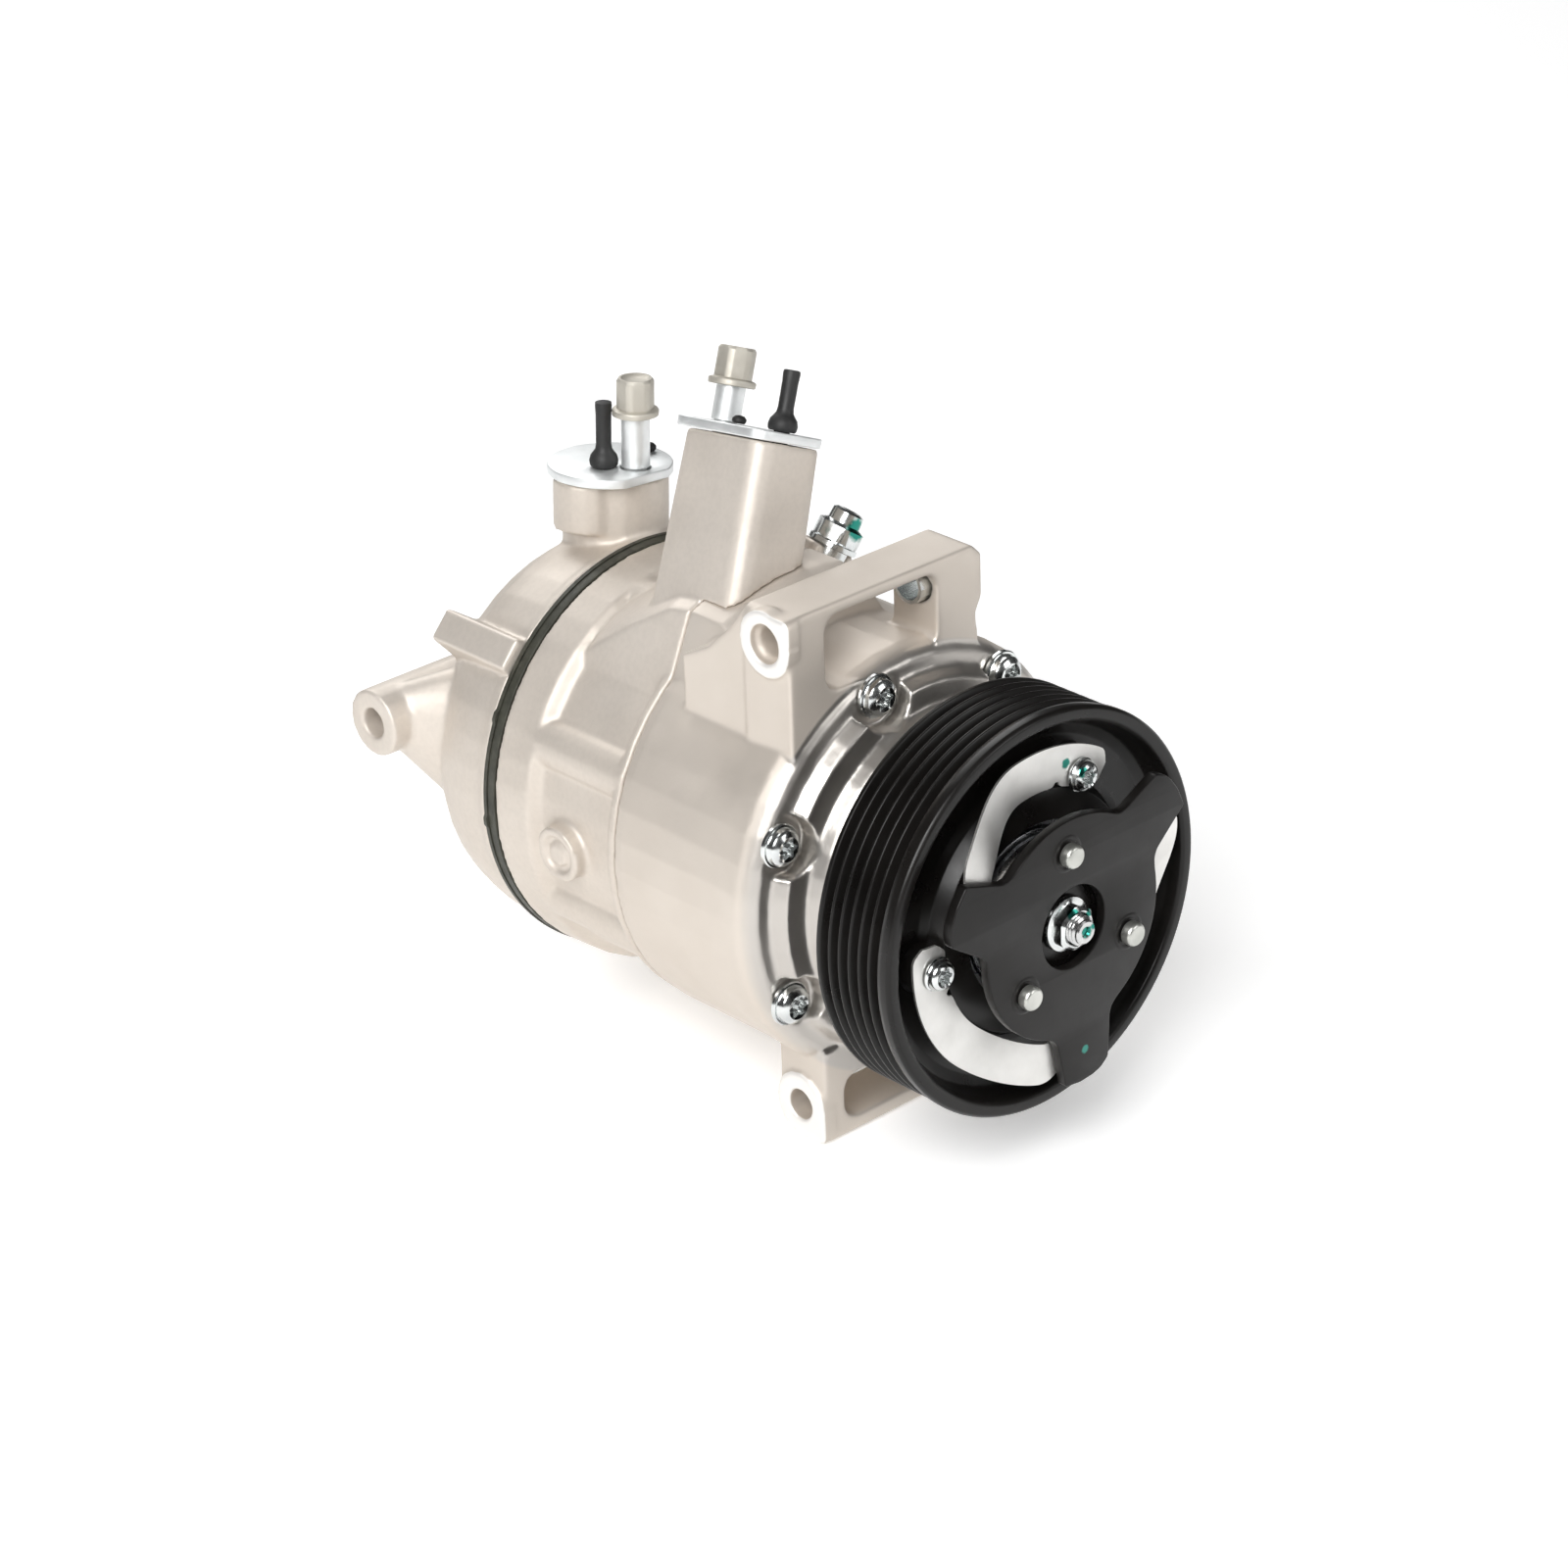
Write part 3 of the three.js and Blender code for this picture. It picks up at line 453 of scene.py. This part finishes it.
def metal(name, low, high, rough, brushed=(1, 1, 1), metallic=1.0, bump=0.05, dabs=()):
    """A plated or machined metal with fine marks, and dabs of teal paint at some places."""
    n = Nodes(name)
    marks = n.noise(420, 5, n.stretched(brushed))
    color = n.ramp(n.noise(120, 4), [(0.35, low), (0.65, high)])
    for at, radius in dabs:
        color = n.mix(n.spot(at, radius), color, TEAL)
    n.link(color, n.shader.inputs["Base Color"])
    n.link(n.between(marks, 0.3, 0.7, rough[0], rough[1]), n.shader.inputs["Roughness"])
    n.shader.inputs["Metallic"].default_value = metallic
    n.bump(marks, bump, 0.0002)
    return n.material


def black_coat(name, dabs=(), rough=(0.22, 0.34)):
    """Black electro-coat with a faint orange peel."""
    n = Nodes(name)
    color = n.ramp(n.noise(40, 3), [(0.3, (0.005, 0.0044, 0.004)), (0.7, (0.0095, 0.0084, 0.0076))])
    for at, radius in dabs:
        color = n.mix(n.spot(at, radius), color, TEAL)
    n.link(color, n.shader.inputs["Base Color"])
    n.link(n.between(n.noise(150, 3), 0.3, 0.7, *rough), n.shader.inputs["Roughness"])
    n.shader.inputs["Metallic"].default_value = 0.0
    n.shader.inputs["Specular IOR Level"].default_value = 0.3
    n.bump(n.noise(900, 3), 0.05, 0.0002)
    return n.material


def rubber():
    tone = 0.012
    n = Nodes("rubber")
    n.link(n.ramp(n.noise(80, 4), [(0.3, (tone,) * 3), (0.7, (tone * 1.8,) * 3)]),
           n.shader.inputs["Base Color"])
    n.link(n.between(n.noise(200, 3), 0.3, 0.7, 0.5, 0.66), n.shader.inputs["Roughness"])
    n.bump(n.noise(1200, 3), 0.12, 0.0002)
    return n.material


def gasket_sheet():
    n = Nodes("gasket_sheet")
    n.link(n.ramp(n.noise(300, 4), [(0.3, (0.03, 0.03, 0.022)), (0.7, (0.06, 0.06, 0.045))]),
           n.shader.inputs["Base Color"])
    n.link(n.between(n.noise(400, 3), 0.3, 0.7, 0.45, 0.6), n.shader.inputs["Roughness"])
    n.bump(n.noise(1500, 2), 0.1, 0.0002)
    return n.material


ALLOY = cast_alloy()
FRONT = front_alloy()
STEEL = metal("steel", (0.42, 0.43, 0.44), (0.56, 0.57, 0.58), (0.22, 0.36), (1, 8, 1))
ZINC = metal("zinc", (0.62, 0.64, 0.64), (0.78, 0.8, 0.79), (0.16, 0.24), bump=0.01)
PLATE_ZINC = metal("plate_zinc", (0.8, 0.82, 0.82), (0.9, 0.92, 0.92), (0.42, 0.55), (6, 1, 1),
                   0.75, 0.02)
DULL_ZINC = metal("dull_zinc", (0.5, 0.47, 0.41), (0.6, 0.57, 0.505), (0.48, 0.6), metallic=0.6)
RIVET_ZINC = metal("rivet_zinc", (0.52, 0.525, 0.49), (0.66, 0.66, 0.62), (0.3, 0.42), metallic=0.9)
SPRING_LOOK = ((0.72, 0.71, 0.685), (0.8, 0.79, 0.765), (0.34, 0.46), (10, 1, 1), 0.9, 0.02)
SPRING_STEEL = metal("spring_steel", *SPRING_LOOK)
BLACK = black_coat("black_coat")
RUBBER = rubber()
GASKET = gasket_sheet()


# ------------------------------------------------------------------ castings
def casting_details():
    """Raised ring on the block's side, with a hexagonal middle."""
    turn = Matrix.Rotation(math.radians(-3), 4, "Y")
    at = turn @ basis((0, 1, 0), (0, 0, -1), (-1, 0, 0), (0, RING_BOSS_Y, -1))
    root, ring_top, middle_top = RING_BOSS_ROOT, 59.5, 59.2
    flats = hexagon(6.2)
    rim = [(5.3, root), (5.3, ring_top), (7.8, ring_top), (7.8, root)]
    plug = [(0.5, root), (flats, root), (flats, middle_top), (0.5, middle_top)]
    ring = lathe_mesh("ring", rim, 40, at, ring=True)
    middle = lathe_mesh("middle", plug, 36, at)
    return [ring, middle]


cast("front_housing_cast", "front_housing", [], 0.6, FRONT)
cast("cylinder_block_cast", "cylinder_block", casting_details(), 0.7, ALLOY)
cast("rear_housing_cast", "rear_housing", [], 0.7, ALLOY)


# ------------------------------------------------------------------ screws, nuts and rivets
def torx_screw(flange_r, head_r, head_h, shank_r, shank_end, socket_r, flange_h=1.2):
    """Pan head with a washer flange and a six-lobe socket. z is 0 at the seat, negative to the front."""
    inner = [(socket_r * 0.2, -head_h + 2.4), (torx(socket_r * 0.86), -head_h + 2.2),
             (torx(socket_r * 0.92), -head_h + 0.25), (socket_r * 1.22, -head_h)]
    head = [(head_r * 0.7, -head_h + 0.06), (head_r * 0.9, -head_h + 0.5), (head_r, -head_h + 1.2),
            (head_r, -flange_h - 0.4), (head_r + 0.25, -flange_h), (flange_r - 0.3, -flange_h),
            (flange_r, -flange_h + 0.3), (flange_r, -0.1), (shank_r, -0.1), (shank_r, shank_end)]
    return inner + head


def through_bolts():
    for k in range(BOLTS):
        x, z = polar(BOLT_PCR, BOLT_ANGLE + k * BOLT_PITCH)
        node = f"through_bolt_{k + 1}"
        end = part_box(node)[1][1] / MM - SEAT_Y
        profile = torx_screw(6.0, 4.9, 4.1, 3.0, end, 2.75)
        mesh = lathe_mesh(node, profile, 72, along_shaft(x, z, SEAT_Y - 0.25))
        piece(node + "_screw", mesh, ZINC, "housing", (node,))


def spring_screws():
    for k in range(SPRINGS):
        x, z = third(SPRING_R, SPRING_ANGLE, k)
        node = f"spring_screw_{k + 1}"
        profile = torx_screw(4.6, 4.0, 3.1, 2.7, 9.4, 2.3, 0.7)
        mesh = lathe_mesh(node, profile, 72, along_shaft(x, z, SPRING_SEAT_Y))
        material = ZINC_MARKED if k == 0 else ZINC
        piece(node + "_head", mesh, material, "drive", (node,))


def rivets():
    profile = rounded([(0.5, 0), (2.6, 0), (3.2, 0.7), (3.2, 3.2), (2.2, 3.2), (2.2, 12)], 0.5)
    dish = [(0.3, 0.18), (1.5, 0.14)] + profile[1:]
    for k in range(SPRINGS):
        x, z = third(RIVET_R, RIVET_ANGLE, k)
        mesh = lathe_mesh(f"rivet_{k + 1}", dish, 48, along_shaft(x, z, RIVET_Y))
        piece(f"rivet_{k + 1}_head", mesh, RIVET_ZINC, "drive", (f"rivet_{k + 1}",))


def hub_nut():
    """A hexagon nut with a collar, and the shaft's threaded end through it."""
    flats = hexagon(11.2)
    profile = [(4.35, 8.0), (4.35, 3.0), (4.7, 2.75), (5.0, 2.7), (flats, 3.5), (flats, 6.1), (6.2, 6.2),
               (7.3, 6.6), (7.5, 7.0), (7.5, 7.8), (7.2, 8.0)]
    mesh = lathe_mesh("hub_nut", profile, 96, along_shaft(), ring=True)
    piece("hub_nut_hex", mesh, ZINC_MARKED, "drive", ("hub_nut",))


def shaft():
    """Threaded front end, a stepped seat and the long running surface."""
    threads = []
    for k in range(9):
        y = 0.9 + k
        threads += [(3.35, y), (3.95, y + 0.45), (3.95, y + 0.55)]
    profile = [(1.2, 0.9), (1.5, 0.25), (2.0, 0.05), (2.9, 0.0), (3.3, 0.4)] + threads
    profile += rounded([(3.4, 9.95), (6.4, 10), (6.4, 32), (7.5, 33), (7.5, 63.3), (8, 63.3),
                        (8, SHAFT_END_Y - 0.4), (7.4, SHAFT_END_Y)], 0.25)
    profile += [(2, SHAFT_END_Y)]
    mesh = lathe_mesh("drive_shaft", profile, 64, along_shaft())
    piece("drive_shaft_turned", mesh, STEEL_MARKED, "drive", ("drive_shaft",))


def dab(radius, angle, y, size):
    x, z = polar(radius, angle)
    return (x, y, z), size


SCREW_DABS = [dab(SPRING_R + 1.2, SPRING_ANGLE + 4, 13.6, 1.6), dab(5, 110, 3, 1.8), dab(5, 40, 3, 1.2)]
ZINC_MARKED = metal("zinc_marked", (0.66, 0.68, 0.68), (0.8, 0.82, 0.81), (0.16, 0.24), bump=0.01,
                    dabs=SCREW_DABS)
STEEL_MARKED = metal("steel_marked", (0.56, 0.56, 0.56), (0.7, 0.7, 0.69), (0.2, 0.3), bump=0.01,
                     dabs=[dab(0.5, 0, 0.4, 1.6), dab(2.6, 20, 0.6, 1.1)])
SPRING_MARKED = metal("spring_marked", *SPRING_LOOK, dabs=[dab(39.5, SPRING_ANGLE + 9.5, 16.8, 1.5)])
through_bolts()
spring_screws()
rivets()
hub_nut()
shaft()


# ------------------------------------------------------------------ pulley and drive plate
def pulley():
    profile = [(24.4, 17.6), (33, 17.6), (35, 21.6), (38, 22.4), (46, 22.6), (49, 21.4), (50.6, 18),
               (51.3, 15.2), (52.1, PULLEY_Y), (54.6, PULLEY_Y), (55.4, PULLEY_Y + 0.9),
               (55.4, PULLEY_Y + 3.0)]
    shoulder, root = PULLEY_R - 0.25, PULLEY_R - RIB_DEPTH
    for k in range(RIB_GROOVES):
        middle = PULLEY_Y + 4.1 + (k + 0.5) * RIB_PITCH
        profile += [(PULLEY_R, middle - 1.55), (shoulder, middle - 1.35), (root, middle - 0.3),
                    (root, middle + 0.3), (shoulder, middle + 1.35), (PULLEY_R, middle + 1.55)]
    profile += [(PULLEY_R, PULLEY_END_Y - 0.6), (PULLEY_R - 0.6, PULLEY_END_Y), (50.6, PULLEY_END_Y),
                (49.7, 28), (48.5, 26.8), (34.2, 26.8), (33.5, 27.4), (33.5, 40.4), (27.7, 40.4),
                (27.7, 19.6), (24.4, 19.6)]
    body = lathe_mesh("pulley", rounded(profile, 0.35, 2), 192, along_shaft(), ring=True)
    pads = []
    for k in range(SPRINGS):
        x, z = third(SPRING_R, SPRING_ANGLE, k)
        pad = rounded([(2.9, 17.9), (6.1, 17.9), (7.4, 23.2), (2.9, 23.2)], 0.5)
        pads.append(lathe_mesh("pad", pad, 40, along_shaft(x, z), ring=True))
    whole = joined("pulley_ribbed", [body] + pads)
    piece("pulley_ribbed", whole, PULLEY_COAT, "drive", ("pulley",))


def arm_outline():
    """Drive plate: a round middle with three wide arms, each with one straight flank and one cut corner."""
    corners = [(PLATE_R, -25), (31.1, -20), (32.6, -16.7), (35.6, -14.6), (45.4, -10), (46, -3), (46, 3),
               (45.6, 6.5), (44.2, 10.4), (36, 15.2), (32.8, 17.6), (31.2, 20.4), (PLATE_R, 25)]
    points = []
    for k in range(SPRINGS):
        middle = ARM_ANGLE + k * 120
        for r, a in corners:
            points.append(polar(r, middle + a))
        for a in range(31, 92, 6):
            points.append(polar(PLATE_R, middle + a))
    return rounded([points[-1]] + points + [points[0]], 0.8)[1:-1]


def drive_plate():
    """Local Y of the shaft frame is -Z, so outlines are mirrored to keep their angles."""
    outline = [(x, -z) for x, z in arm_outline()]
    plate = prism_mesh("plate", outline, PLATE_Y, PLATE_Y + PLATE_T, along_shaft(), 0.35,
                       [(0, 0, PLATE_HOLE_R)])
    rims = []
    low, high = PLATE_Y + 0.2, PLATE_Y - 0.22
    for k in range(SPRINGS):
        x, z = third(RIVET_R, RIVET_ANGLE, k)
        rim = rounded([(3.2, low), (4.1, high), (4.6, high), (5.6, low)], 0.2)
        rims.append(lathe_mesh("rim", rim, 40, along_shaft(x, z), ring=True))
    coat = black_coat("plate_coat", [dab(37, ARM_ANGLE + 240, PLATE_Y, 1.2)], (0.3, 0.42))
    piece("drive_plate_arms", joined("drive_plate_arms", [plate] + rims), coat, "drive",
          ("drive_plate",))


def drive_hub():
    profile = rounded([(6.8, 8.4), (10.4, 8.4), (10.4, HUB_Y), (26.4, HUB_Y), (26.4, 11.2), (25, 11.6),
                       (14, 13.6), (11.6, 16), (11.6, HUB_END_Y), (6.8, HUB_END_Y)], 0.4)
    mesh = lathe_mesh("drive_hub", profile, 96, along_shaft(), ring=True)
    piece("drive_hub_turned", mesh, BLACK, "drive", ("drive_hub",))


def ease(t):
    s = min(max(t, 0), 1)
    return s * s * (3 - 2 * s)


def leaf_spring(index):
    """A strip wound round the shaft, from its screw on the pulley to its rivet on the drive plate."""
    first, last = -12, 160.5
    steps, across = 120, 6
    out_r, rounding = 39, 0.15
    start = SPRING_ANGLE + index * 120
    rings = []
    for i in range(steps + 1):
        angle = first + (last - first) * i / steps
        inward = 0.8 * ease((angle - 72) / 32) + 0.2 * ease((angle - 104) / 40)
        middle = out_r + (RIVET_R - out_r) * inward
        from_end = min((angle - first) / 5, (last - angle) / 12, 1)
        half = (5.6 - 1.2 * inward) * math.sqrt(max(from_end * (2 - from_end), 0.2))
        notch = 0.3 * math.exp(-((angle - 13) / 1.6) ** 2)
        y = SPRING_OUT_Y + (SPRING_IN_Y - SPRING_OUT_Y) * ease((angle - 34) / 46)
        row = []
        for side, order in ((-1, range(across + 1)), (1, range(across, -1, -1))):
            for j in order:
                t = 2 * j / across - 1
                edge = SPRING_T / 2 * (1 - rounding * (abs(t) == 1))
                x, z = polar(middle + t * half * (1 - notch * (t < 0)), start + angle)
                row.append(Vector((x, y + side * edge, z)) * MM)
        rings.append(row)
    mesh = grid_mesh(f"leaf_spring_{index + 1}", rings, False, True)
    material = SPRING_MARKED if index == 0 else SPRING_STEEL
    node = f"leaf_spring_{index + 1}"
    piece(node + "_strip", mesh, material, "drive", (node,), sharp=40)


def bearing():
    """Outer ring with a grooved seal; the inner ring is fixed on the nose."""
    start, end = BEARING_Y, BEARING_END_Y
    outer = rounded([(27.4, start), (27.4, end), (24.6, end), (24.2, 39.2), (22.0, 39.2), (22.0, 38.4),
                     (24, 38.4), (24, 21.4), (22, 21.4), (22.0, 20.6), (24.2, 20.6), (24.6, start)], 0.25)
    mesh = lathe_mesh("pulley_bearing_outer", outer, 96, along_shaft(), ring=True)
    piece("bearing_outer_ring", mesh, STEEL, "drive", ("pulley_bearing_outer",))
    inner = rounded([(17.7, start), (21.4, start), (21.4, end), (17.7, end)], 0.5)
    mesh = lathe_mesh("pulley_bearing_inner", inner, 96, along_shaft(), ring=True)
    piece("bearing_inner_ring", mesh, STEEL, "housing", ("pulley_bearing_inner",))


PULLEY_COAT = black_coat("pulley_coat", rough=(0.26, 0.38))
pulley()
drive_plate()
drive_hub()
bearing()
for spring in range(SPRINGS):
    leaf_spring(spring)


# ------------------------------------------------------------------ ports and valves
def rounded_rect(x0, x1, y0, y1, r, steps=8):
    points = []
    corners = ((x1 - r, y0 + r, -90), (x1 - r, y1 - r, 0), (x0 + r, y1 - r, 90), (x0 + r, y0 + r, 180))
    for cx, cy, start in corners:
        for k in range(steps + 1):
            dx, dy = polar(r, start + 90 * k / steps)
            points.append((cx + dx, cy + dy))
    return points


def port_bolt(name, port, at, stand_off, replaces):
    """Hexagon head with a washer face on a bright shank."""
    flats = hexagon(9.6, 0.08)
    head = [(1.2, stand_off + 9.7), (3.2, stand_off + 9.9), (3.9, stand_off + 10.4), (4.5, stand_off + 10.4),
            (flats, stand_off + 9.6), (flats, stand_off + 2.1), (5.4, stand_off + 2.0),
            (6.2, stand_off + 1.7), (6.4, stand_off + 1.3), (6.3, stand_off + 0.2), (5.9, stand_off),
            (4.0, stand_off - 0.01)]
    matrix = port_frame(port, at)
    mesh = lathe_mesh(name + "_head", head, 96, matrix)
    piece(name + "_head", mesh, DULL_ZINC, "housing", replaces)
    shank = rounded([(3.9, stand_off), (3.9, 0.35), (3.0, 0.3), (3.0, -12.6), (2.2, -13)], 0.2)
    mesh = lathe_mesh(name + "_shank", shank, 64, matrix)
    piece(name + "_shank", mesh, PLATE_ZINC, "housing")


def port_plug(name, port, at, tail, node):
    profile = [(0.5, -4), (2.0, -3.8), (2.1, 0.3), (3.4, 0.3), (3.8, 0.8), (3.95, 2.0), (3.6, 3.4),
               (2.9, 4.3), (2.3, 5.2), (2.1, 6.6), (2.15, tail - 3.2), (2.3, tail - 1.0),
               (2.2, tail - 0.2), (1.6, tail)]
    mesh = lathe_mesh(name, profile, 48, port_frame(port, at))
    piece(name, mesh, RUBBER, "housing", (node,), 50)


def vent_plug(name, port, at, node):
    profile = [(0.3, 2.5), (1.2, 2.3), (1.9, 1.6), (1.9, 0.9), (1.5, 0.3), (0.4, 0.3)]
    mesh = lathe_mesh(name, profile, 32, port_frame(port, at))
    piece(name, mesh, RUBBER, "housing", (node,), 60)


def port_plates():
    discharge_holes = [(0, 10, 4.2), (0, -12, 2.5)]
    outline = rounded_rect(-12.2, 12.2, -17.6, 18, 5)
    mesh = prism_mesh("discharge_plate", outline, -PORT_PLATE_T, 0, port_frame(DISCHARGE), 0.35,
                      discharge_holes)
    piece("discharge_plate_zinc", mesh, PLATE_ZINC, "housing", ("discharge_port_plate",))
    outline = []
    disc_r, flat_at, steps = 17.1, 15.4, 72
    flat = math.degrees(math.asin(flat_at / disc_r))
    for k in range(steps + 1):
        a = -90 + (90 - flat) + (360 - 2 * (90 - flat)) * k / steps
        outline.append(polar(disc_r, a))
    mesh = prism_mesh("suction_plate", outline, -PORT_PLATE_T, 0, port_frame(SUCTION), 0.35,
                      [(2, -8.2, 4.2), (-4.5, -2.6, 2.5)])
    piece("suction_plate_zinc", mesh, PLATE_ZINC, "housing", ("suction_port_plate",))


def relief_valve():
    flats = hexagon(12)
    profile = [(1.0, 25.6), (1.3, 26.6), (3.4, 27), (4.5, 26.4), (4.6, 23.3), (5.2, 23.0), (flats, 22.4),
               (flats, 18.4), (6.2, 18.0), (6.9, 17.8), (7, 16.5), (6.6, 16.3), (4.9, 16.2), (4.9, 10.4),
               (4.4, 10)]
    (px, py, pz), axis = RELIEF
    away = Vector((px, py, pz)) + Vector(axis).normalized() * 23
    paint = metal("valve_zinc", (0.62, 0.64, 0.64), (0.78, 0.8, 0.79), (0.16, 0.28),
                  dabs=[((away.x, away.y - 6, away.z), 3.4), ((away.x - 5, away.y, away.z), 2.2)])
    mesh = lathe_mesh("relief_valve", profile, 96, port_frame(RELIEF, sideways=(0, 1, 0)))
    piece("relief_valve_hex", mesh, paint, "housing", ("relief_valve",))


port_plates()
port_bolt("discharge_bolt", DISCHARGE, (0, 10), 9.6, ("discharge_port_bolt",))
port_bolt("suction_bolt", SUCTION, (2, -8.2), 14.6, ("suction_port_bolt",))
port_plug("discharge_plug", DISCHARGE, (0, -12), 16.4, "discharge_port_plug")
port_plug("suction_plug", SUCTION, (-4.5, -2.6), 18.4, "suction_port_plug")
vent_plug("discharge_vent", DISCHARGE, (-3, 1.5), "discharge_vent_plug")
vent_plug("suction_vent", SUCTION, (13.6, -0.6), "suction_vent_plug")
relief_valve()


# ------------------------------------------------------------------ gasket, shoes and carried-over nodes
def gasket():
    """Thin dark ring with small tabs at its edge."""
    tabs = (118, 176, 205, 290)
    inner_r = 50

    def edge(a):
        near = min(abs((math.degrees(a) - tab + 180) % 360 - 180) for tab in tabs)
        return GASKET_R + 0.55 * (near < 1.6)
    start, end = GASKET_Y
    profile = [(inner_r, start), (edge, start), (edge, end), (inner_r, end)]
    mesh = lathe_mesh("head_gasket", profile, 360, along_shaft(), ring=True)
    piece("head_gasket_sheet", mesh, GASKET, "housing", ("head_gasket",))
    start, end = VALVE_RIM_Y
    rim = [(inner_r, start), (VALVE_RIM_R, start), (VALVE_RIM_R, end), (inner_r, end)]
    mesh = lathe_mesh("valve_rim", rounded(rim, 0.25), 180, along_shaft(), ring=True)
    piece("valve_plate_rim", mesh, GASKET, "housing")


def shoes():
    """Half-ball shoes between the swash plate and each piston's pads."""
    for k in range(BOLTS):
        x, z = polar(BORE_PCR, BOLT_ANGLE + (k + 0.5) * BOLT_PITCH)
        for side, label in ((-1, "front"), (1, "rear")):
            profile = []
            for step in range(9):
                a = math.radians(10 * step + 4)
                height = SHOE_GAP - 0.1 - 3.6 * (1 - math.cos(a))
                profile.append((SHOE_R * math.sin(a), side * height))
            profile += [(5.2, side * 3.35), (0.6, side * 3.3)]
            mesh = lathe_mesh("shoe", profile, 40, along_shaft(x, z, SWASH_Y))
            piece(f"shoe_{label}_{k + 1}", mesh, STEEL, f"piston_body_{k + 1}")


def destroke_spring():
    """The return spring: the CAD node's coil, copied onto a mesh of its own."""
    mesh = frame["nodes"]["destroke_spring"].data.copy()
    coil = piece("destroke_spring_coil", mesh, SPRING_STEEL, "housing", ("destroke_spring",))
    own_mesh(coil)


SLOT_LOOKS = {"cast_alloy": ALLOY, "piston_alloy": ALLOY, "steel": STEEL, "zinc": ZINC,
              "dull_zinc": DULL_ZINC, "spring_steel": SPRING_STEEL, "black_coat": BLACK,
              "rubber": RUBBER, "gasket": GASKET}


def dress_cad_nodes():
    slots = {part["node"]: part["material_slot"] for part in frame["record"]["subparts"]}
    for name, obj in frame["nodes"].items():
        obj.data.materials.clear()
        obj.data.materials.append(SLOT_LOOKS[slots[name]])


gasket()
shoes()
destroke_spring()
dress_cad_nodes()


# ------------------------------------------------------------------ floor, light and camera
CAMERA_TURNS = (-42.14, 26.18, -2.01)       # azimuth, elevation and roll, in degrees
CAMERA_AT = (-771.06, -740.63, 569.02)
CAMERA_LENS = 110.17


def stage():
    low = CAD_BOX[0][2]
    bpy.ops.mesh.primitive_plane_add(size=8, location=(0, 0, low - 0.0005))
    floor = bpy.context.object
    floor.name = "floor"
    n = Nodes("floor_paper")
    n.shader.inputs["Base Color"].default_value = (0.93, 0.93, 0.93, 1)
    n.shader.inputs["Emission Color"].default_value = (1, 1, 1, 1)
    n.shader.inputs["Emission Strength"].default_value = 0.3
    n.shader.inputs["Roughness"].default_value = 0.9
    floor.data.materials.append(n.material)
    world = bpy.data.worlds.new("studio")
    world.use_nodes = True
    tree = world.node_tree
    direction = tree.nodes.new("ShaderNodeTexCoord").outputs["Generated"]
    height = tree.nodes.new("ShaderNodeSeparateXYZ")
    tree.links.new(direction, height.inputs[0])
    glow = tree.nodes.new("ShaderNodeMapRange")
    glow.inputs["From Min"].default_value = -0.1
    glow.inputs["From Max"].default_value = 0.7
    glow.inputs["To Min"].default_value = 0.5
    glow.inputs["To Max"].default_value = 1.4
    tree.links.new(height.outputs[2], glow.inputs["Value"])
    tree.links.new(glow.outputs["Result"], tree.nodes["Background"].inputs["Strength"])
    bpy.context.scene.world = world


def soft_light(name, at, size, watts):
    aim = (0, 0.1, 0)
    data = bpy.data.lights.new(name, "AREA")
    data.size = size
    data.energy = watts
    lamp = bpy.data.objects.new(name, data)
    lamp.location = at
    lamp.rotation_euler = (Vector(at) - Vector(aim)).to_track_quat("Z", "Y").to_euler()
    bpy.context.collection.objects.link(lamp)


def camera():
    azimuth, elevation, roll = (math.radians(v) for v in CAMERA_TURNS)
    data = bpy.data.cameras.new("photo_view")
    data.lens = CAMERA_LENS
    data.sensor_width = 36
    back = Vector((math.sin(azimuth) * math.cos(elevation), -math.cos(azimuth) * math.cos(elevation),
                   math.sin(elevation)))
    level = Vector((math.cos(azimuth), math.sin(azimuth), 0))
    up = back.cross(level)
    right = level * math.cos(roll) + up * math.sin(roll)
    view = bpy.data.objects.new("photo_view", data)
    view.matrix_world = basis(right, back.cross(right), back, CAMERA_AT)
    bpy.context.collection.objects.link(view)
    bpy.context.scene.camera = view


stage()
soft_light("key", (-1.3, -0.6, 1.2), 1.1, 38)
soft_light("front_fill", (0.7, -1.5, 0.9), 1.0, 9)
soft_light("back", (0.6, 1.6, 1.3), 1.4, 20)
camera()
bpy.context.scene.view_settings.view_transform = "Standard"
